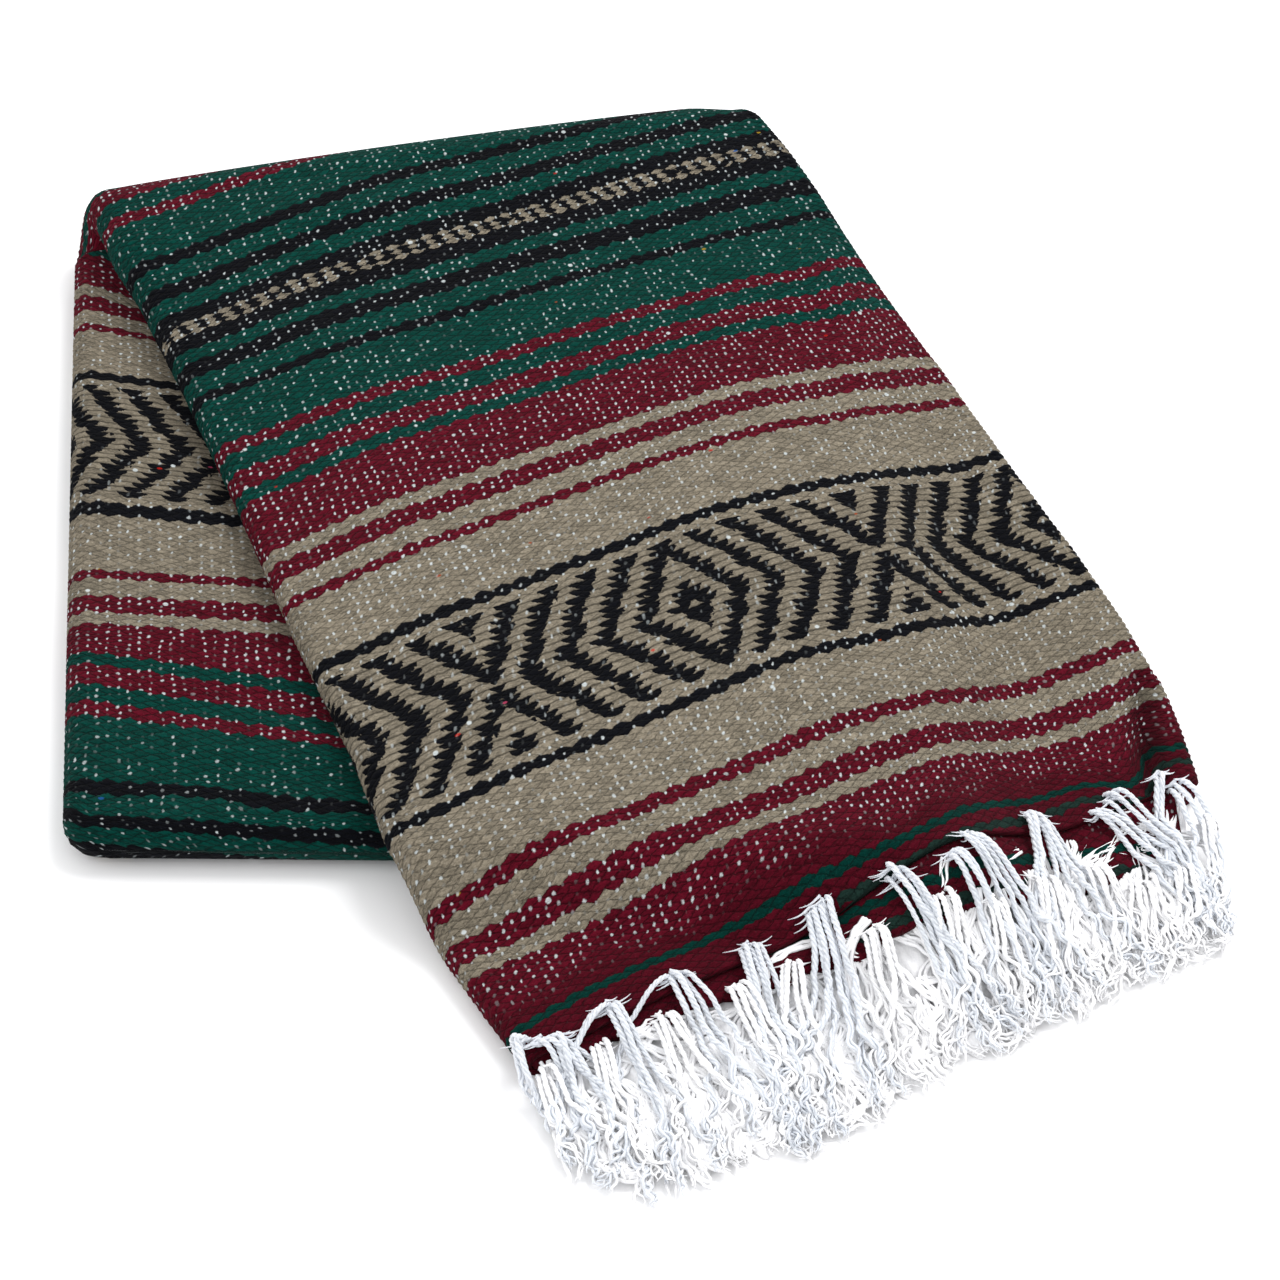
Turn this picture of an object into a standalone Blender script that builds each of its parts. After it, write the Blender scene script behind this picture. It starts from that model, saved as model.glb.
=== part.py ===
"""A Mexican falsa blanket (serape), folded for display: eight layers of one woven cloth with a fringed hem.

The blanket is folded fringe to fringe and then twice across its width into a strip. The strip is folded
over itself once more, at an angle: its lower leg lies on the table and ends in a rounded bottom fold, its
upper leg crosses it to the right and ends in the fringed hem. Metres, +Z up, resting on z = 0. The origin
is the bottom centre of the whole object's box, and -Y is the fringed front.
"""

from math import cos, hypot, pi, radians, sin, sqrt

import bpy
import numpy as np

# Driving dimensions
STRIP_WIDTH = 0.320  # the blanket's 1.28 m width, folded in four
PLY = 0.0025  # one woven layer
GAP = 0.0003  # between neighbouring pieces
STRIP_THICK = 0.022  # eight layers, where they are turned over in the fold
FOLD_RADIUS = 0.024  # outside radius of the puffed fold, half its height
FOLD_LEFT = (-0.2261, 0.2128)  # where the upper leg's left edge comes out of the fold
UPPER_TURN = radians(22.8)  # each leg's run, turned from -Y towards +X
LOWER_TURN = radians(6.0)
FOLD_TURN = radians(13.3)  # the fold lies about midway between the two legs

UPPER_LEFT = 0.5064  # lengths of the legs' edges, from the fold to the hem or the bottom fold
UPPER_RIGHT = 0.428
LOWER_LEFT = 0.360
LOWER_RIGHT = 0.4396
BOTTOM_START = 0.030  # how far before its end the bottom fold begins
CORNER_RADIUS = 0.014  # the bottom fold's corners, in plan

FOLD_BLEND = 0.080  # the upper leg settles from the fold onto the lower leg over this
DROOP_START = 0.012  # how far past the lower leg the upper leg begins to sink to the table
DROOP_SIDE = 0.056  # and how far it takes, at the lower leg's right edge
DROOP_END = 0.038  # and at the lower leg's bottom fold
EDGE_RISE = 0.060  # the upper leg thickens from its edges over this

LAYER_REACH = 0.006  # it shows past the hem by this at the left,
LAYER_MORE = 0.022  # and by this much more towards the right
HEAD_INSET = 0.015  # the fringe is tied through the cloth this far before its hem
FRINGE_THICK = 0.004  # one row of fringe
PILE_TIP = 0.003  # height of the lower fringe at its tips
NOTCH_CLEAR = 0.0006  # half the slit between the two rolled edges
DENT_EDGE = 0.012  # the dent in the hidden layers keeps this far from the edges
DENT_START = 0.80  # it deepens from this share of the upper leg's length
DENT_OVER = 0.07  # over this much of it
HEM_STEP = 0.006  # the second row of fringe comes down off its hem over this
YARN_THIN = 0.0012  # thickness of a row of fringe where it is tied in
THICKEN_OVER = 0.020  # and it reaches its full thickness over this
FIRST_PATH = 0.001  # the fringe's first places past the hem
LEAST_HEAD = 0.003
SECOND_LAYER_START = (-0.10, -0.06, -0.03, 0.0)  # shares of the upper leg's length before the hem
TOP_FRINGE_START = (-0.03, 0.0)
FRINGE_STEPS = 4

# The upper leg from the fold to the hem: its edges' shifts to the right and its thickness
UPPER_COLUMNS = ("along", "left_shift", "right_shift", "left_thick", "middle_thick", "right_thick")
UPPER_ROWS = (
    (0.00, -0.0030, -0.0102, 0.0220, 0.0220, 0.0220),
    (0.06, -0.0035, -0.0084, 0.0215, 0.0220, 0.0220),
    (0.12, -0.0002, -0.0072, 0.0200, 0.0215, 0.0220),
    (0.25, 0.0008, -0.0051, 0.0170, 0.0210, 0.0210),
    (0.40, 0.0000, 0.0014, 0.0150, 0.0205, 0.0205),
    (0.56, -0.0022, 0.0012, 0.0140, 0.0200, 0.0200),
    (0.70, -0.0022, 0.0006, 0.0140, 0.0200, 0.0200),
    (0.80, -0.0050, -0.0008, 0.0140, 0.0195, 0.0195),
    (0.88, 0.0012, -0.0035, 0.0140, 0.0190, 0.0190),
    (0.94, 0.0058, -0.0090, 0.0135, 0.0185, 0.0180),
    (1.00, 0.0110, -0.0145, 0.0130, 0.0175, 0.0160),
)
# The fringe from left to right: how far it reaches past the hem, and its run, turned from -Y towards +X
FRINGE_COLUMNS = ("across", "reach", "turn_degrees")
FRINGE_ROWS = (
    (0.00, 0.060, 24.0),
    (0.12, 0.080, 23.0),
    (0.30, 0.086, 22.0),
    (0.50, 0.080, 20.0),
    (0.70, 0.076, 16.0),
    (0.88, 0.080, 8.0),
    (1.00, 0.088, 0.0),
)

# Shares of the upper leg's length, closer together near the hem, where it sinks to the table
UPPER_STATIONS = (0.04, 0.08, 0.14, 0.22, 0.34, 0.46, 0.56, 0.64)
UPPER_STATIONS += (0.70, 0.75, 0.80, 0.85, 0.90, 0.94, 0.97, 1.00)
FLAT_POINTS = 9  # points along the top and along the underside of one section
RIGHT_POINTS = 9  # points round its right edge
LEFT_POINTS = 7  # points round its left edge
FOLD_STEPS = 9
LOWER_STEPS = 7
NOSE_ANGLES = (0.0, 26.0, 50.0, 70.0, 84.0)  # degrees round the bottom fold


def column(rows, columns, name, place):
    """One column of a table, read between its rows."""
    index = columns.index(name)
    return float(np.interp(place, [row[0] for row in rows], [row[index] for row in rows]))


def smooth(share):
    """0 to 1 with soft ends."""
    share = min(max(share, 0.0), 1.0)
    return share * share * (3.0 - 2.0 * share)


def run_of(turn):
    """The plan direction of a leg that runs towards -Y, turned towards +X."""
    return np.array((sin(turn), -cos(turn)))


def across_of(turn):
    """The plan direction across such a leg, to its right."""
    return np.array((cos(turn), sin(turn)))


UPPER_RUN = run_of(UPPER_TURN)
UPPER_ACROSS = across_of(UPPER_TURN)
LOWER_RUN = run_of(LOWER_TURN)
FOLD_ALONG = across_of(FOLD_TURN)
FOLD_OUT = -run_of(FOLD_TURN)

# Corners in plan
UPPER_FOLD_LEFT = np.array(FOLD_LEFT)
UPPER_FOLD_RIGHT = UPPER_FOLD_LEFT + FOLD_ALONG * STRIP_WIDTH / cos(UPPER_TURN - FOLD_TURN)
FOLD_DRIFT = FOLD_ALONG * pi * FOLD_RADIUS * sin(UPPER_TURN - FOLD_TURN) / cos(UPPER_TURN - FOLD_TURN)
LOWER_FOLD_LEFT = UPPER_FOLD_LEFT - FOLD_DRIFT
LOWER_FOLD_RIGHT = UPPER_FOLD_RIGHT - FOLD_DRIFT
LOWER_END_LEFT = LOWER_FOLD_LEFT + LOWER_RUN * LOWER_LEFT
LOWER_END_RIGHT = LOWER_FOLD_RIGHT + LOWER_RUN * LOWER_RIGHT


def beyond(point, start, end):
    """How far a plan point lies to the left of the line from start to end."""
    line = (end - start) / np.linalg.norm(end - start)
    offset = point - start
    return float(line[0] * offset[1] - line[1] * offset[0])


def resting_height(point):
    """Underside of the upper leg: on the lower leg, and sinking to the table past its edges."""
    side = -beyond(point, LOWER_END_RIGHT, LOWER_FOLD_RIGHT) - DROOP_START
    end = -beyond(point, LOWER_END_LEFT, LOWER_END_RIGHT) - DROOP_START
    sink = hypot(max(side, 0.0) / DROOP_SIDE, max(end, 0.0) / DROOP_END)
    return (STRIP_THICK + GAP) * (1.0 - smooth(sink))


def underside(point):
    """The same, raised near the fold, where the strip turns over."""
    at_fold = 2.0 * FOLD_RADIUS - STRIP_THICK
    rest = resting_height(point)
    before = -float(np.dot(point - UPPER_FOLD_LEFT, FOLD_OUT))
    return rest + (at_fold - rest) * (1.0 - smooth(before / FOLD_BLEND))


def thickness(place, width, thick):
    """The strip's thickness at a place across it; thick is (left, middle, right)."""
    left, middle, right = thick
    from_left = smooth((place - left / 2.0) / EDGE_RISE)
    from_right = smooth((width - right / 2.0 - place) / EDGE_RISE)
    return middle - (middle - left) * (1.0 - from_left) - (middle - right) * (1.0 - from_right)


def section(width, thick, inset=0.0, dent=0.0, notch=1.0):
    """Points (across, height) round a section, from its left underside to the right and back over the top.

    The left edge is one roll and the right edge two, one on the other, with a slit between them. The
    inset moves the whole outline in, and the dent lowers only its top, clear of the edges.
    """
    left, _, right = thick
    points = []
    first = left / 2.0
    last = width - right * (0.5 - 0.25 * notch)
    flats = np.linspace(first, last, FLAT_POINTS + 2)[1:-1]
    points += [(place, inset) for place in flats]
    roll = right / 4.0
    radius = roll - NOTCH_CLEAR - inset
    slit = NOTCH_CLEAR + inset
    corners = np.radians((-90.0, -30.0, 30.0, 90.0))
    double = [(width - roll + radius * cos(a), roll + radius * sin(a)) for a in corners]
    double[3] = (width - roll, right / 2.0 - slit)
    double[0] = (width - roll, inset)
    double.append((width - roll - slit, right / 2.0))
    double += [(place, right - height) for place, height in double[3::-1]]
    angles = np.radians(np.linspace(-90.0, 90.0, RIGHT_POINTS))
    whole = right / 2.0 - inset
    single = [(width - right / 2.0 + whole * cos(a), right / 2.0 + whole * sin(a)) for a in angles]
    points += [
        (x0 + (x1 - x0) * notch, h0 + (h1 - h0) * notch)
        for (x0, h0), (x1, h1) in zip(single, double)
    ]
    for place in flats[::-1]:
        inside = smooth(place / DENT_EDGE - 1.0) * smooth((width - place) / DENT_EDGE - 1.0)
        lowered = dent * inside
        points.append((place, thickness(place, width, thick) - inset - lowered))
    angles = np.radians(np.linspace(90.0, 270.0, LEFT_POINTS))
    whole = left / 2.0 - inset
    points += [(first + whole * cos(a), left / 2.0 + whole * sin(a)) for a in angles]
    return points


def upper_line(along):
    """Left and right ends in plan of the line across the upper leg, at this share of its length."""
    left = UPPER_FOLD_LEFT + UPPER_RUN * UPPER_LEFT * along
    right = UPPER_FOLD_RIGHT + UPPER_RUN * UPPER_RIGHT * along
    left = left + UPPER_ACROSS * column(UPPER_ROWS, UPPER_COLUMNS, "left_shift", along)
    right = right + UPPER_ACROSS * column(UPPER_ROWS, UPPER_COLUMNS, "right_shift", along)
    return left, right


def upper_thick(along):
    """Its thickness there at the left, in the middle and at the right."""
    names = ("left_thick", "middle_thick", "right_thick")
    return tuple(column(UPPER_ROWS, UPPER_COLUMNS, name, along) for name in names)


def upper_ring(along, inset=0.0, dent=0.0):
    """One section of the upper leg, in space."""
    left, right = upper_line(along)
    width = float(np.linalg.norm(right - left))
    ring = []
    for place, height in section(width, upper_thick(along), inset, dent):
        spot = left + (right - left) * place / width
        ring.append((spot[0], spot[1], underside(spot) + height))
    return ring


def fold_ring(angle, inset=0.0):
    """One section of the fold, turned by this angle from the upper leg towards the lower."""
    left, right = upper_line(0.0)
    drift = -FOLD_DRIFT * angle / pi
    width = float(np.linalg.norm(right - left))
    ring = []
    for place, height in section(width, (STRIP_THICK,) * 3, inset):
        radius = FOLD_RADIUS - STRIP_THICK + height
        spot = left + (right - left) * place / width + drift + FOLD_OUT * radius * sin(angle)
        ring.append((spot[0], spot[1], FOLD_RADIUS + radius * cos(angle)))
    return ring


def lower_line(before_end):
    """Ends in plan of the line across the lower leg, this far before the bottom fold's end."""
    left_start, right_start = (edge - FOLD_DRIFT for edge in upper_line(0.0))
    left_end = LOWER_END_LEFT
    right_end = LOWER_END_RIGHT
    share = before_end / LOWER_LEFT
    left = left_end + (left_start - left_end) * share
    right = right_end + (right_start - right_end) * share
    return left, right


def lower_ring(before_end, inset=0.0, notch=1.0):
    """One section of the lower leg, lying on the table with its fold side up."""
    left, right = lower_line(before_end)
    width = float(np.linalg.norm(right - left))
    ring = []
    for place, height in section(width, (STRIP_THICK,) * 3, inset, 0.0, notch):
        place += rounding(before_end - inset, inset) * (1.0 - 2.0 * place / width)
        spot = left + (right - left) * place / width
        ring.append((spot[0], spot[1], STRIP_THICK - height))
    return ring


def rounding(before_end, inset):
    """How far a corner of the bottom fold draws in, this far before its end."""
    radius = CORNER_RADIUS - inset
    inward = min(max(radius - before_end, 0.0), radius)
    return radius - sqrt(radius * radius - inward * inward)


def nose_ring(angle, inset=0.0):
    """One section of the bottom fold's closing roll."""
    radius = STRIP_THICK / 2.0 - inset
    before_end = STRIP_THICK / 2.0 - radius * sin(angle)
    ring = lower_ring(before_end, inset, 0.0)
    middle = STRIP_THICK / 2.0
    return [(x, y, middle + (z - middle) * cos(angle)) for x, y, z in ring]


def joined_rings(rings, first=0):
    """Triangles of the skin over a run of rings."""
    count = len(rings[0])
    faces = []
    for row in range(len(rings) - 1):
        start = first + row * count
        for j in range(count):
            k = (j + 1) % count
            faces.append((start + j, start + k, start + count + k))
            faces.append((start + j, start + count + k, start + count + j))
    return faces


def cap(start):
    """Triangles that close one ring, zipped from its right edge to its left."""
    count = 2 * FLAT_POINTS + RIGHT_POINTS + LEFT_POINTS
    tip = FLAT_POINTS + RIGHT_POINTS // 2
    faces = []
    for step in range(count // 2):
        below, above = start + (tip - step) % count, start + (tip + step) % count
        next_below, next_above = start + (tip - step - 1) % count, start + (tip + step + 1) % count
        if below != above:
            faces.append((below, above, next_above))
        if next_below != next_above:
            faces.append((below, next_above, next_below))
    return faces


def rim(outer, inner, count):
    """Triangles of the open end between an outer and an inner ring."""
    faces = []
    for j in range(count):
        k = (j + 1) % count
        faces.append((outer + j, inner + k, outer + k))
        faces.append((outer + j, inner + j, inner + k))
    return faces


def turned(faces):
    return [face[::-1] for face in faces]


def material_of(name, colour, roughness):
    material = bpy.data.materials.get(name) or bpy.data.materials.new(name)
    material.use_nodes = True
    shader = material.node_tree.nodes["Principled BSDF"]
    shader.inputs["Base Color"].default_value = (*colour, 1.0)
    shader.inputs["Roughness"].default_value = roughness
    shader.inputs["Metallic"].default_value = 0.0
    material.diffuse_color = (*colour, 1.0)
    return material


def add_piece(name, points, faces, material):
    """One named object from points and triangles, its faces turned to point out."""
    mesh = bpy.data.meshes.new(name)
    corners = np.array(points)[np.array(faces)]
    if np.einsum("ij,ij->i", corners[:, 0], np.cross(corners[:, 1], corners[:, 2])).sum() < 0.0:
        faces = turned(faces)
    mesh.from_pydata(points, [], faces)
    mesh.validate()
    mesh.shade_smooth()
    mesh.materials.append(material)
    piece = bpy.data.objects.new(name, mesh)
    bpy.context.scene.collection.objects.link(piece)
    return piece


def add_wall(name, outer, inner, material, closed=False):
    """A cloth wall between two runs of rings: open at both ends, or closed at the last one."""
    count = len(outer[0])
    last = len(outer) - 1
    inner_start = count * len(outer)
    points = [point for ring in outer + inner for point in ring]
    faces = joined_rings(outer) + turned(joined_rings(inner, inner_start))
    faces += rim(0, inner_start, count)
    if closed:
        faces += cap(count * last) + turned(cap(inner_start + count * last))
    else:
        faces += turned(rim(count * last, inner_start + count * last, count))
    return add_piece(name, points, faces, material)


def add_core(name, rings, material):
    """A solid run of rings, closed at both ends."""
    last = len(rings[0]) * (len(rings) - 1)
    points = [point for ring in rings for point in ring]
    return add_piece(name, points, joined_rings(rings) + turned(cap(0)) + cap(last), material)


def add_slab(name, low, high, material):
    """A solid between two grids of points, low and high, of the same shape."""
    rows, columns = len(low), len(low[0])
    points = [point for grid in (low, high) for row in grid for point in row]
    top = rows * columns
    faces = []
    for i in range(rows - 1):
        for j in range(columns - 1):
            a = i * columns + j
            b, c, d = a + 1, a + columns + 1, a + columns
            faces += [(a, c, b), (a, d, c), (top + a, top + b, top + c), (top + a, top + c, top + d)]
    around = list(range(columns))
    around += [i * columns + columns - 1 for i in range(1, rows)]
    around += [(rows - 1) * columns + j for j in range(columns - 2, -1, -1)]
    around += [i * columns for i in range(rows - 2, 0, -1)]
    for a, b in zip(around, around[1:] + around[:1]):
        faces += [(a, b, top + b), (a, top + b, top + a)]
    return add_piece(name, points, faces, material)


def hem_spot(across, along):
    """Plan point and height of the upper leg's top, at this share of the way between its edge rolls."""
    left, right = upper_line(along)
    thick = upper_thick(along)
    width = float(np.linalg.norm(right - left))
    place = thick[0] / 2.0 + (width - thick[0] / 2.0 - thick[2] / 4.0) * across
    spot = left + (right - left) * place / width
    return spot, underside(spot) + thickness(place, width, thick)


def along_at(past):
    """Share of the upper leg's length at a place that is past the hem, or before it where it is negative.

    Places before the hem are counted as shares of the leg's length, so that they fall on its sections.
    """
    return 1.0 + min(past, 0.0)


def hem_point(across, past):
    """Plan point at this share across the hem, this far past it along the fringe's run."""
    turn = radians(column(FRINGE_ROWS, FRINGE_COLUMNS, "turn_degrees", across))
    return hem_spot(across, along_at(past))[0] + run_of(turn) * max(past, 0.0)


def hem_top(across, past):
    """Height of the upper leg's top there, or at the hem for a place past it."""
    return hem_spot(across, along_at(past))[1]


def layer_past(across):
    """How far the second layer's hem shows past the first."""
    return LAYER_REACH + LAYER_MORE * smooth(across / 0.8)


def pile_top(across, past):
    """Top of the lower fringe, falling from under the second layer to the tips."""
    start = hem_top(across, 0.0) - 2.0 * PLY - 3.0 * GAP
    reach = column(FRINGE_ROWS, FRINGE_COLUMNS, "reach", across)
    return PILE_TIP + (start - PILE_TIP) * (1.0 - smooth(past / reach))


def layer_low(across, past):
    """Underside of the second layer: under the first one, and on the pile past the hem."""
    if past <= 0.0:
        return hem_top(across, past) - 2.0 * PLY - GAP
    return pile_top(across, past) + GAP


def second_low(across, past):
    """Underside of the second row of fringe: on the second layer, and on the pile past it."""
    over = smooth((layer_past(across) + HEM_STEP - past) / HEM_STEP)
    return pile_top(across, past) + GAP + (PLY + GAP) * over


def second_top(across, past):
    start = layer_past(across) * 0.5
    full = smooth((past - start) / THICKEN_OVER)
    return second_low(across, past) + YARN_THIN + (FRINGE_THICK - YARN_THIN) * full


def top_low(across, past):
    """Underside of the top row of fringe: on the first layer, and on the second row past the hem."""
    if past <= 0.0:
        return hem_top(across, past) + GAP
    return max(second_top(across, past) + GAP, hem_top(across, 0.0) + GAP - past)


def grid_of(places, paths, height):
    """Points at each place across the hem and each distance past it, at a height given by a function."""
    return [
        [(*hem_point(across, past), height(across, past)) for past in paths(across)]
        for across in places
    ]


def outside_paths(across):
    """Places past the hem: at the tied heads and the hem of the second layer, and then evenly to the tips."""
    hem = layer_past(across)
    reach = column(FRINGE_ROWS, FRINGE_COLUMNS, "reach", across)
    heads = max(hem - HEAD_INSET, LEAST_HEAD)
    even = np.linspace(hem + HEM_STEP, reach, FRINGE_STEPS + 1)
    return [FIRST_PATH, heads, hem, *even]


def add_upper_leg(material):
    places = (*reversed(UPPER_STATIONS), GAP / UPPER_RIGHT)
    outer = [upper_ring(along) for along in places]
    inner = [upper_ring(along, PLY) for along in places]
    add_wall("upper_leg", outer, inner, material)


def add_top_fold(material):
    angles = [pi * step / FOLD_STEPS for step in range(FOLD_STEPS + 1)]
    outer = [fold_ring(angle) for angle in angles]
    inner = [fold_ring(angle, PLY) for angle in angles]
    add_wall("top_fold", outer, inner, material)


def add_lower_leg(material):
    places = np.linspace(LOWER_LEFT - GAP, BOTTOM_START + GAP, LOWER_STEPS + 1)
    outer = [lower_ring(place) for place in places]
    inner = [lower_ring(place, PLY) for place in places]
    add_wall("lower_leg", outer, inner, material)


def bottom_rings(inset):
    """Sections of the bottom fold: the last of the flat leg, whose two rolls become one, and the nose."""
    halfway = (BOTTOM_START + STRIP_THICK / 2.0) / 2.0
    rings = [lower_ring(BOTTOM_START, inset), lower_ring(halfway, inset, 0.5)]
    return rings + [nose_ring(radians(angle), inset) for angle in NOSE_ANGLES]


def add_bottom_fold(material):
    add_wall("bottom_fold", bottom_rings(0.0), bottom_rings(PLY), material, closed=True)


def add_hidden_layers(material):
    inset = PLY + GAP
    rings = []
    for along in reversed(UPPER_STATIONS):
        dent = (PLY + GAP) * smooth((along - DENT_START) / DENT_OVER)
        rings.append(upper_ring(along, inset, dent))
    rings += [fold_ring(pi * step / FOLD_STEPS, inset) for step in range(FOLD_STEPS + 1)]
    places = np.linspace(LOWER_LEFT - GAP, BOTTOM_START + GAP, LOWER_STEPS + 1)
    rings += [lower_ring(place, inset) for place in places[1:-1]]
    rings += bottom_rings(inset)
    add_core("hidden_layers", rings, material)


def add_second_layer(material):
    def paths(across):
        return [*SECOND_LAYER_START, *outside_paths(across)[:3]]

    low = grid_of(np.linspace(0.0, 1.0, FLAT_POINTS + 2)[1:-1], paths, layer_low)
    high = [[(x, y, z + PLY) for x, y, z in row] for row in low]
    add_slab("second_layer", low, high, material)


def add_fringe(material):
    def second_paths(across):
        return outside_paths(across)[1:]

    def top_paths(across):
        return [*TOP_FRINGE_START, *outside_paths(across)]

    places = np.linspace(0.0, 1.0, FLAT_POINTS + 2)
    low = grid_of(places, outside_paths, lambda across, past: 0.0)
    add_slab("fringe_lower", low, grid_of(places, outside_paths, pile_top), material)
    low = grid_of(places, second_paths, second_low)
    add_slab("fringe_second", low, grid_of(places, second_paths, second_top), material)
    low = grid_of(places, top_paths, top_low)
    high = [[(x, y, z + FRINGE_THICK) for x, y, z in row] for row in low]
    add_slab("fringe_top", low, high, material)


def main():
    for old in list(bpy.data.objects):
        bpy.data.objects.remove(old, do_unlink=True)
    green = material_of("green_cloth", (0.020, 0.130, 0.080), 0.95)
    maroon = material_of("maroon_cloth", (0.180, 0.015, 0.025), 0.95)
    cotton = material_of("white_cotton", (0.800, 0.800, 0.810), 0.90)
    add_upper_leg(maroon)
    add_top_fold(green)
    add_lower_leg(maroon)
    add_bottom_fold(green)
    add_hidden_layers(maroon)
    add_second_layer(maroon)
    add_fringe(cotton)


main()
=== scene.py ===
"""A folded Mexican falsa blanket: woven shells on the CAD strip's form, their stripes, and the fringe.

Cloth coordinates: w counts warps across the strip from its left edge, p counts picks along it from the middle
of the patterned band next to the hem, positive towards the hem. Lengths are metres unless a name says mm.
"""

from collections import namedtuple
from math import pi, radians

import bpy
import numpy as np
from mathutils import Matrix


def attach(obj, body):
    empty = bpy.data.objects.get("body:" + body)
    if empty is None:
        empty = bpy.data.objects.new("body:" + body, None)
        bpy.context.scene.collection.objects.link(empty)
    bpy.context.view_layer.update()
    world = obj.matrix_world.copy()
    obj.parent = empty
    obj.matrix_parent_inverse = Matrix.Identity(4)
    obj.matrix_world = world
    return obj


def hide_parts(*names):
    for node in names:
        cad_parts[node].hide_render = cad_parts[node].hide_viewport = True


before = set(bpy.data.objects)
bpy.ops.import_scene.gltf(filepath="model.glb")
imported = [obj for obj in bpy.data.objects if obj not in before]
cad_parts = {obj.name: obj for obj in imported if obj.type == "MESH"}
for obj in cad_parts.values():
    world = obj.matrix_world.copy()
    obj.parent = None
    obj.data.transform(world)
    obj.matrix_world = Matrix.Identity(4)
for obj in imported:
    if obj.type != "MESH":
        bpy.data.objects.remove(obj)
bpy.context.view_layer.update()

# ---------------------------------------------------------------- the strip's form, as the CAD has it
STRIP_WIDTH = 0.320
PLY = 0.0025  # one layer of cloth
GAP = 0.0003  # between pieces
STRIP_THICK = 0.022
FOLD_RADIUS = 0.024
UPPER_FOLD_LEFT = np.array((-0.2261, 0.2128))
UPPER_TURN = radians(22.8)
LOWER_TURN = radians(6.0)
FOLD_TURN = radians(13.3)
UPPER_LEFT = 0.5064  # the length of the upper leg's left edge, and so on
UPPER_RIGHT = 0.428
LOWER_LEFT = 0.360
LOWER_RIGHT = 0.4396
CORNER_RADIUS = 0.014
FOLD_BLEND = 0.080  # over which the upper leg's underside comes down from the top fold
FOLD_BULGE = 0.0058  # how far the top fold's middle swells out
FOLD_CORNER = 0.24  # share by which it is drawn in at its right end
DROOP_START = 0.012  # where it starts to sink past the lower leg's edges, and over how far
DROOP_SIDE = 0.056
DROOP_END = 0.038
EDGE_RISE = 0.060  # from an edge's thickness to the middle's
NOTCH_CLEAR = 0.0006  # half the slit in the right edge
NOTCH_BLEND = 0.019  # over which the slit in the right edge closes before the bottom fold
BODY_HEIGHT = 0.012  # by which a section's surface takes the creases
UPPER_COLUMNS = ("along", "left_shift", "right_shift", "left_thick", "middle_thick", "right_thick")
UPPER_ROWS = np.array((
    (0.00, -0.0030, -0.0102, 0.0220, 0.0220, 0.0220),
    (0.06, -0.0035, -0.0084, 0.0215, 0.0220, 0.0220),
    (0.12, -0.0002, -0.0072, 0.0200, 0.0215, 0.0220),
    (0.25, 0.0008, -0.0051, 0.0170, 0.0210, 0.0210),
    (0.40, 0.0000, 0.0014, 0.0150, 0.0205, 0.0205),
    (0.56, -0.0022, 0.0012, 0.0140, 0.0200, 0.0200),
    (0.70, -0.0022, 0.0006, 0.0140, 0.0200, 0.0200),
    (0.80, -0.0050, -0.0008, 0.0140, 0.0195, 0.0195),
    (0.88, 0.0012, -0.0035, 0.0140, 0.0190, 0.0190),
    (0.94, 0.0058, -0.0090, 0.0135, 0.0185, 0.0180),
    (1.00, 0.0110, -0.0145, 0.0130, 0.0175, 0.0160),
))
# The fringe, as the CAD has it: share of the hem from the left, reach past the hem, and turn from -Y in
# degrees
LAYER_REACH = 0.006
LAYER_MORE = 0.022
PILE_TIP = 0.003
FRINGE_ROWS = np.array((
    (0.00, 0.060, 24.0),
    (0.12, 0.080, 23.0),
    (0.30, 0.086, 22.0),
    (0.50, 0.080, 20.0),
    (0.70, 0.076, 16.0),
    (0.88, 0.080, 8.0),
    (1.00, 0.088, 0.0),
))

# ---------------------------------------------------------------- the weave
WARP_MM = 4.1
PICK_MM = 1.78
RELIEF = 0.0004  # how far a float stands above the mean surface
CENTRE_WARP = 36.0  # the warp through the middle of the diamond, at CENTRE_MM from the strip's left edge
CENTRE_MM = 151.0
LOWER_CENTRE_WARP = -1.0  # the same for the diamond on the lower leg, just past its edge
LEFT_WARP_MM = 4.28
RIGHT_WARP_MM = 3.90

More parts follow.
